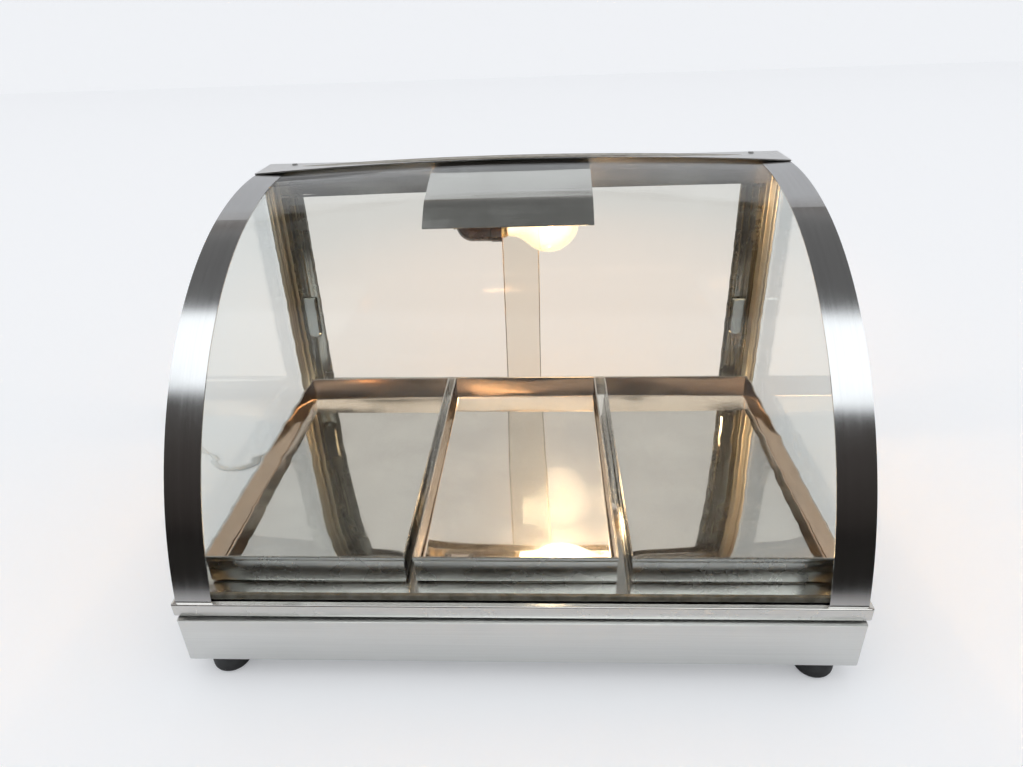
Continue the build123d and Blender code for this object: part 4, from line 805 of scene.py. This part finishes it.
def pan(name, middle_x):
    """An open pan: a box without its lid, its corners rounded, given a wall and a hem."""
    bpy.ops.object.select_all(action="DESELECT")
    middle_z = DECK_Z + TRAY_HEIGHT / 2
    bpy.ops.mesh.primitive_cube_add(size=1.0, location=(middle_x, TRAY_MIDDLE_Y, middle_z))
    shell = bpy.context.object
    shell.scale = (TRAY_WIDTH - 2 * HEM_OUT, TRAY_LENGTH - 2 * HEM_OUT, TRAY_HEIGHT)
    bpy.ops.object.transform_apply(location=True, scale=True)
    open_box(shell, floor=True)
    middle_z = DECK_Z + TRAY_HEIGHT - HEM_DEPTH / 2
    bpy.ops.mesh.primitive_cube_add(size=1.0, location=(middle_x, TRAY_MIDDLE_Y, middle_z))
    hem = bpy.context.object
    hem.scale = (TRAY_WIDTH, TRAY_LENGTH, HEM_DEPTH)
    bpy.ops.object.transform_apply(location=True, scale=True)
    open_box(hem, floor=False)
    return join([shell, hem], name)


# Painted light: the inner walls' brown is painted lamp light, and the outer walls' darker grey is painted
# shade
tray_wall_painted_warm = polished("tray_wall_painted_warm", (0.66, 0.535, 0.43, 1.0), 0.10,
                     wave=0.0060, wave_size=12.0, smudge=0.08)
tray_outside_painted_shade = polished("tray_outside_painted_shade", (0.52, 0.525, 0.52, 1.0), 0.24,
                        wave=0.0060, wave_size=7.0, smudge=0.06)
tray_rim = brushed("tray_rim", (300.0, 300.0, 300.0), (0.74, 0.72, 0.68, 1.0), 0.20,
                   spread=0.05, depth=0.04)
for side, middle_x in TRAY_MIDDLES.items():
    tray = pan(f"{side}_pan", middle_x)
    tray_floor = dished(f"{side}_tray_floor", (0.74, 0.715, 0.675, 1.0), 0.018, middle_x)
    finishes = [tray_floor, tray_wall_painted_warm, tray_rim, tray_outside_painted_shade]
    for finish in finishes:
        tray.data.materials.append(finish)
    # Outward-facing walls get the painted shade, inward-facing walls the painted warm light
    for face in tray.data.polygons:
        out_x = face.normal.x * (face.center.x - middle_x)
        out_y = face.normal.y * (face.center.y - TRAY_MIDDLE_Y)
        if face.normal.z > RIM_LOOKS_UP and face.center.z > TRAY_RIM_Z:
            face.material_index = finishes.index(tray_rim)
        elif abs(face.normal.z) < FLOOR_LOOKS_UP:
            face.material_index = finishes.index(tray_outside_painted_shade if out_x + out_y > 0 else tray_wall_painted_warm)
    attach(tray, f"{side}_tray")
    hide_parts(f"{side}_tray")


# Controls and wiring
# Bought-in parts of moulded plastic and sheathed wire: the heating loop, thermostat, lamp switch and
# leads inside the base, and the black knob and rocker at its rear.
pale_plastic = moulded("pale_plastic", rgb(222, 219, 210), rgb(208, 204, 194), 0.40)
black_plastic = moulded("black_plastic", rgb(20, 20, 21), rgb(34, 34, 35), 0.35)
finish_nodes(pale_plastic, "terminal_block", "thermostat_body")
finish_nodes(black_plastic, "switch_body", "switch_rocker", "thermostat_knob", "cord_tie")
wire_sleeve = moulded("wire_sleeve", rgb(214, 206, 186), rgb(200, 190, 168), 0.40)
finish_nodes(wire_sleeve, "internal_leads", "lamp_lead")
heater_sheath = brushed("heater_sheath", (200.0, 200.0, 200.0), (0.20, 0.185, 0.17, 1.0), 0.50)
finish_nodes(heater_sheath, "heating_element")


# Mains cord
# White PVC, 4.5 mm thick: a short tail from the gland, a flat coil in two layers held by a tie, and
# a lead to the moulded plug, all lying on the table behind the case.
CORD_DIAMETER = 0.0045
TAIL = [
    (-0.060, 0.167, 0.032), (-0.060, 0.182, 0.032), (-0.0625, 0.202, 0.0235), (-0.075, 0.219, 0.010),
    (-0.097, 0.2265, 0.0025), (-0.122, 0.228, 0.00225), (-0.1455, 0.228, 0.00225),
]
LEAD = [
    (-0.171, 0.22545, 0.00735), (-0.192, 0.2235, 0.0034),
    (-0.212, 0.214, 0.00225), (-0.229, 0.1975, 0.00225), (-0.240, 0.1765, 0.00225),
    (-0.248, 0.153, 0.00225), (-0.255, 0.131, 0.00225), (-0.2595, 0.110, 0.00225),
    (-0.261, 0.089, 0.00225), (-0.276, 0.0737, 0.00225), (-0.2978, 0.0745, 0.00225),
    (-0.3125, 0.0908, 0.00225), (-0.3265, 0.1055, 0.00225), (-0.341, 0.1185, 0.00225),
    (-0.354, 0.133, 0.00225), (-0.364, 0.149, 0.00225),
]
TURN_PITCH = 0.0051
COIL_CENTRE = (-0.150, 0.1959)
COIL_OUTER = 0.0321
COIL_HALF_TURNS = 4
POINTS_PER_HALF_TURN = 6


def reach_after(step):
    """Distance of the cord from the coil's middle after a number of half turns."""
    inward = min(step, COIL_HALF_TURNS + 1)
    outward = step - COIL_HALF_TURNS if step > COIL_HALF_TURNS + 1 else 0
    return COIL_OUTER - (inward - outward) * TURN_PITCH / 2


def coil_points():
    """The coil's turns after its first point: inwards on the table, then outwards on top."""
    points = []
    for count in range(2, 2 * COIL_HALF_TURNS * POINTS_PER_HALF_TURN + 1):
        step, part = divmod(count, POINTS_PER_HALF_TURN)
        share = part / POINTS_PER_HALF_TURN
        start = reach_after(step)
        reach = start + (reach_after(step + 1) - start) * share
        turn = radians(90 + 180 * (step + share))
        climb = share if step == COIL_HALF_TURNS else step > COIL_HALF_TURNS
        points.append((COIL_CENTRE[0] + reach * cos(turn), COIL_CENTRE[1] + reach * sin(turn),
                       CORD_DIAMETER / 2 + TURN_PITCH * climb))
    return points


curve = bpy.data.curves.new("mains_cord", "CURVE")
curve.dimensions = "3D"
curve.bevel_depth = CORD_DIAMETER / 2
curve.bevel_resolution = 6
curve.resolution_u = 8
curve.use_fill_caps = True
spline = curve.splines.new("NURBS")
cord_points = TAIL + coil_points() + LEAD
spline.points.add(len(cord_points) - 1)
for point, place in zip(spline.points, cord_points):
    point.co = (*place, 1.0)
spline.order_u = 3
spline.use_endpoint_u = True
mains_cord = bpy.data.objects.new("mains_cord", curve)
scene.collection.objects.link(mains_cord)

cord_white = moulded("cord_white", rgb(246, 247, 247), rgb(238, 239, 238), 0.34, grain=900.0)
mains_cord.data.materials.append(cord_white)
finish_nodes(cord_white, "cord_tail", "cord_coil", "cord_lead", "cord_gland", "plug_body")
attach(mains_cord, "case")
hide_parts("cord_tail", "cord_coil", "cord_lead")
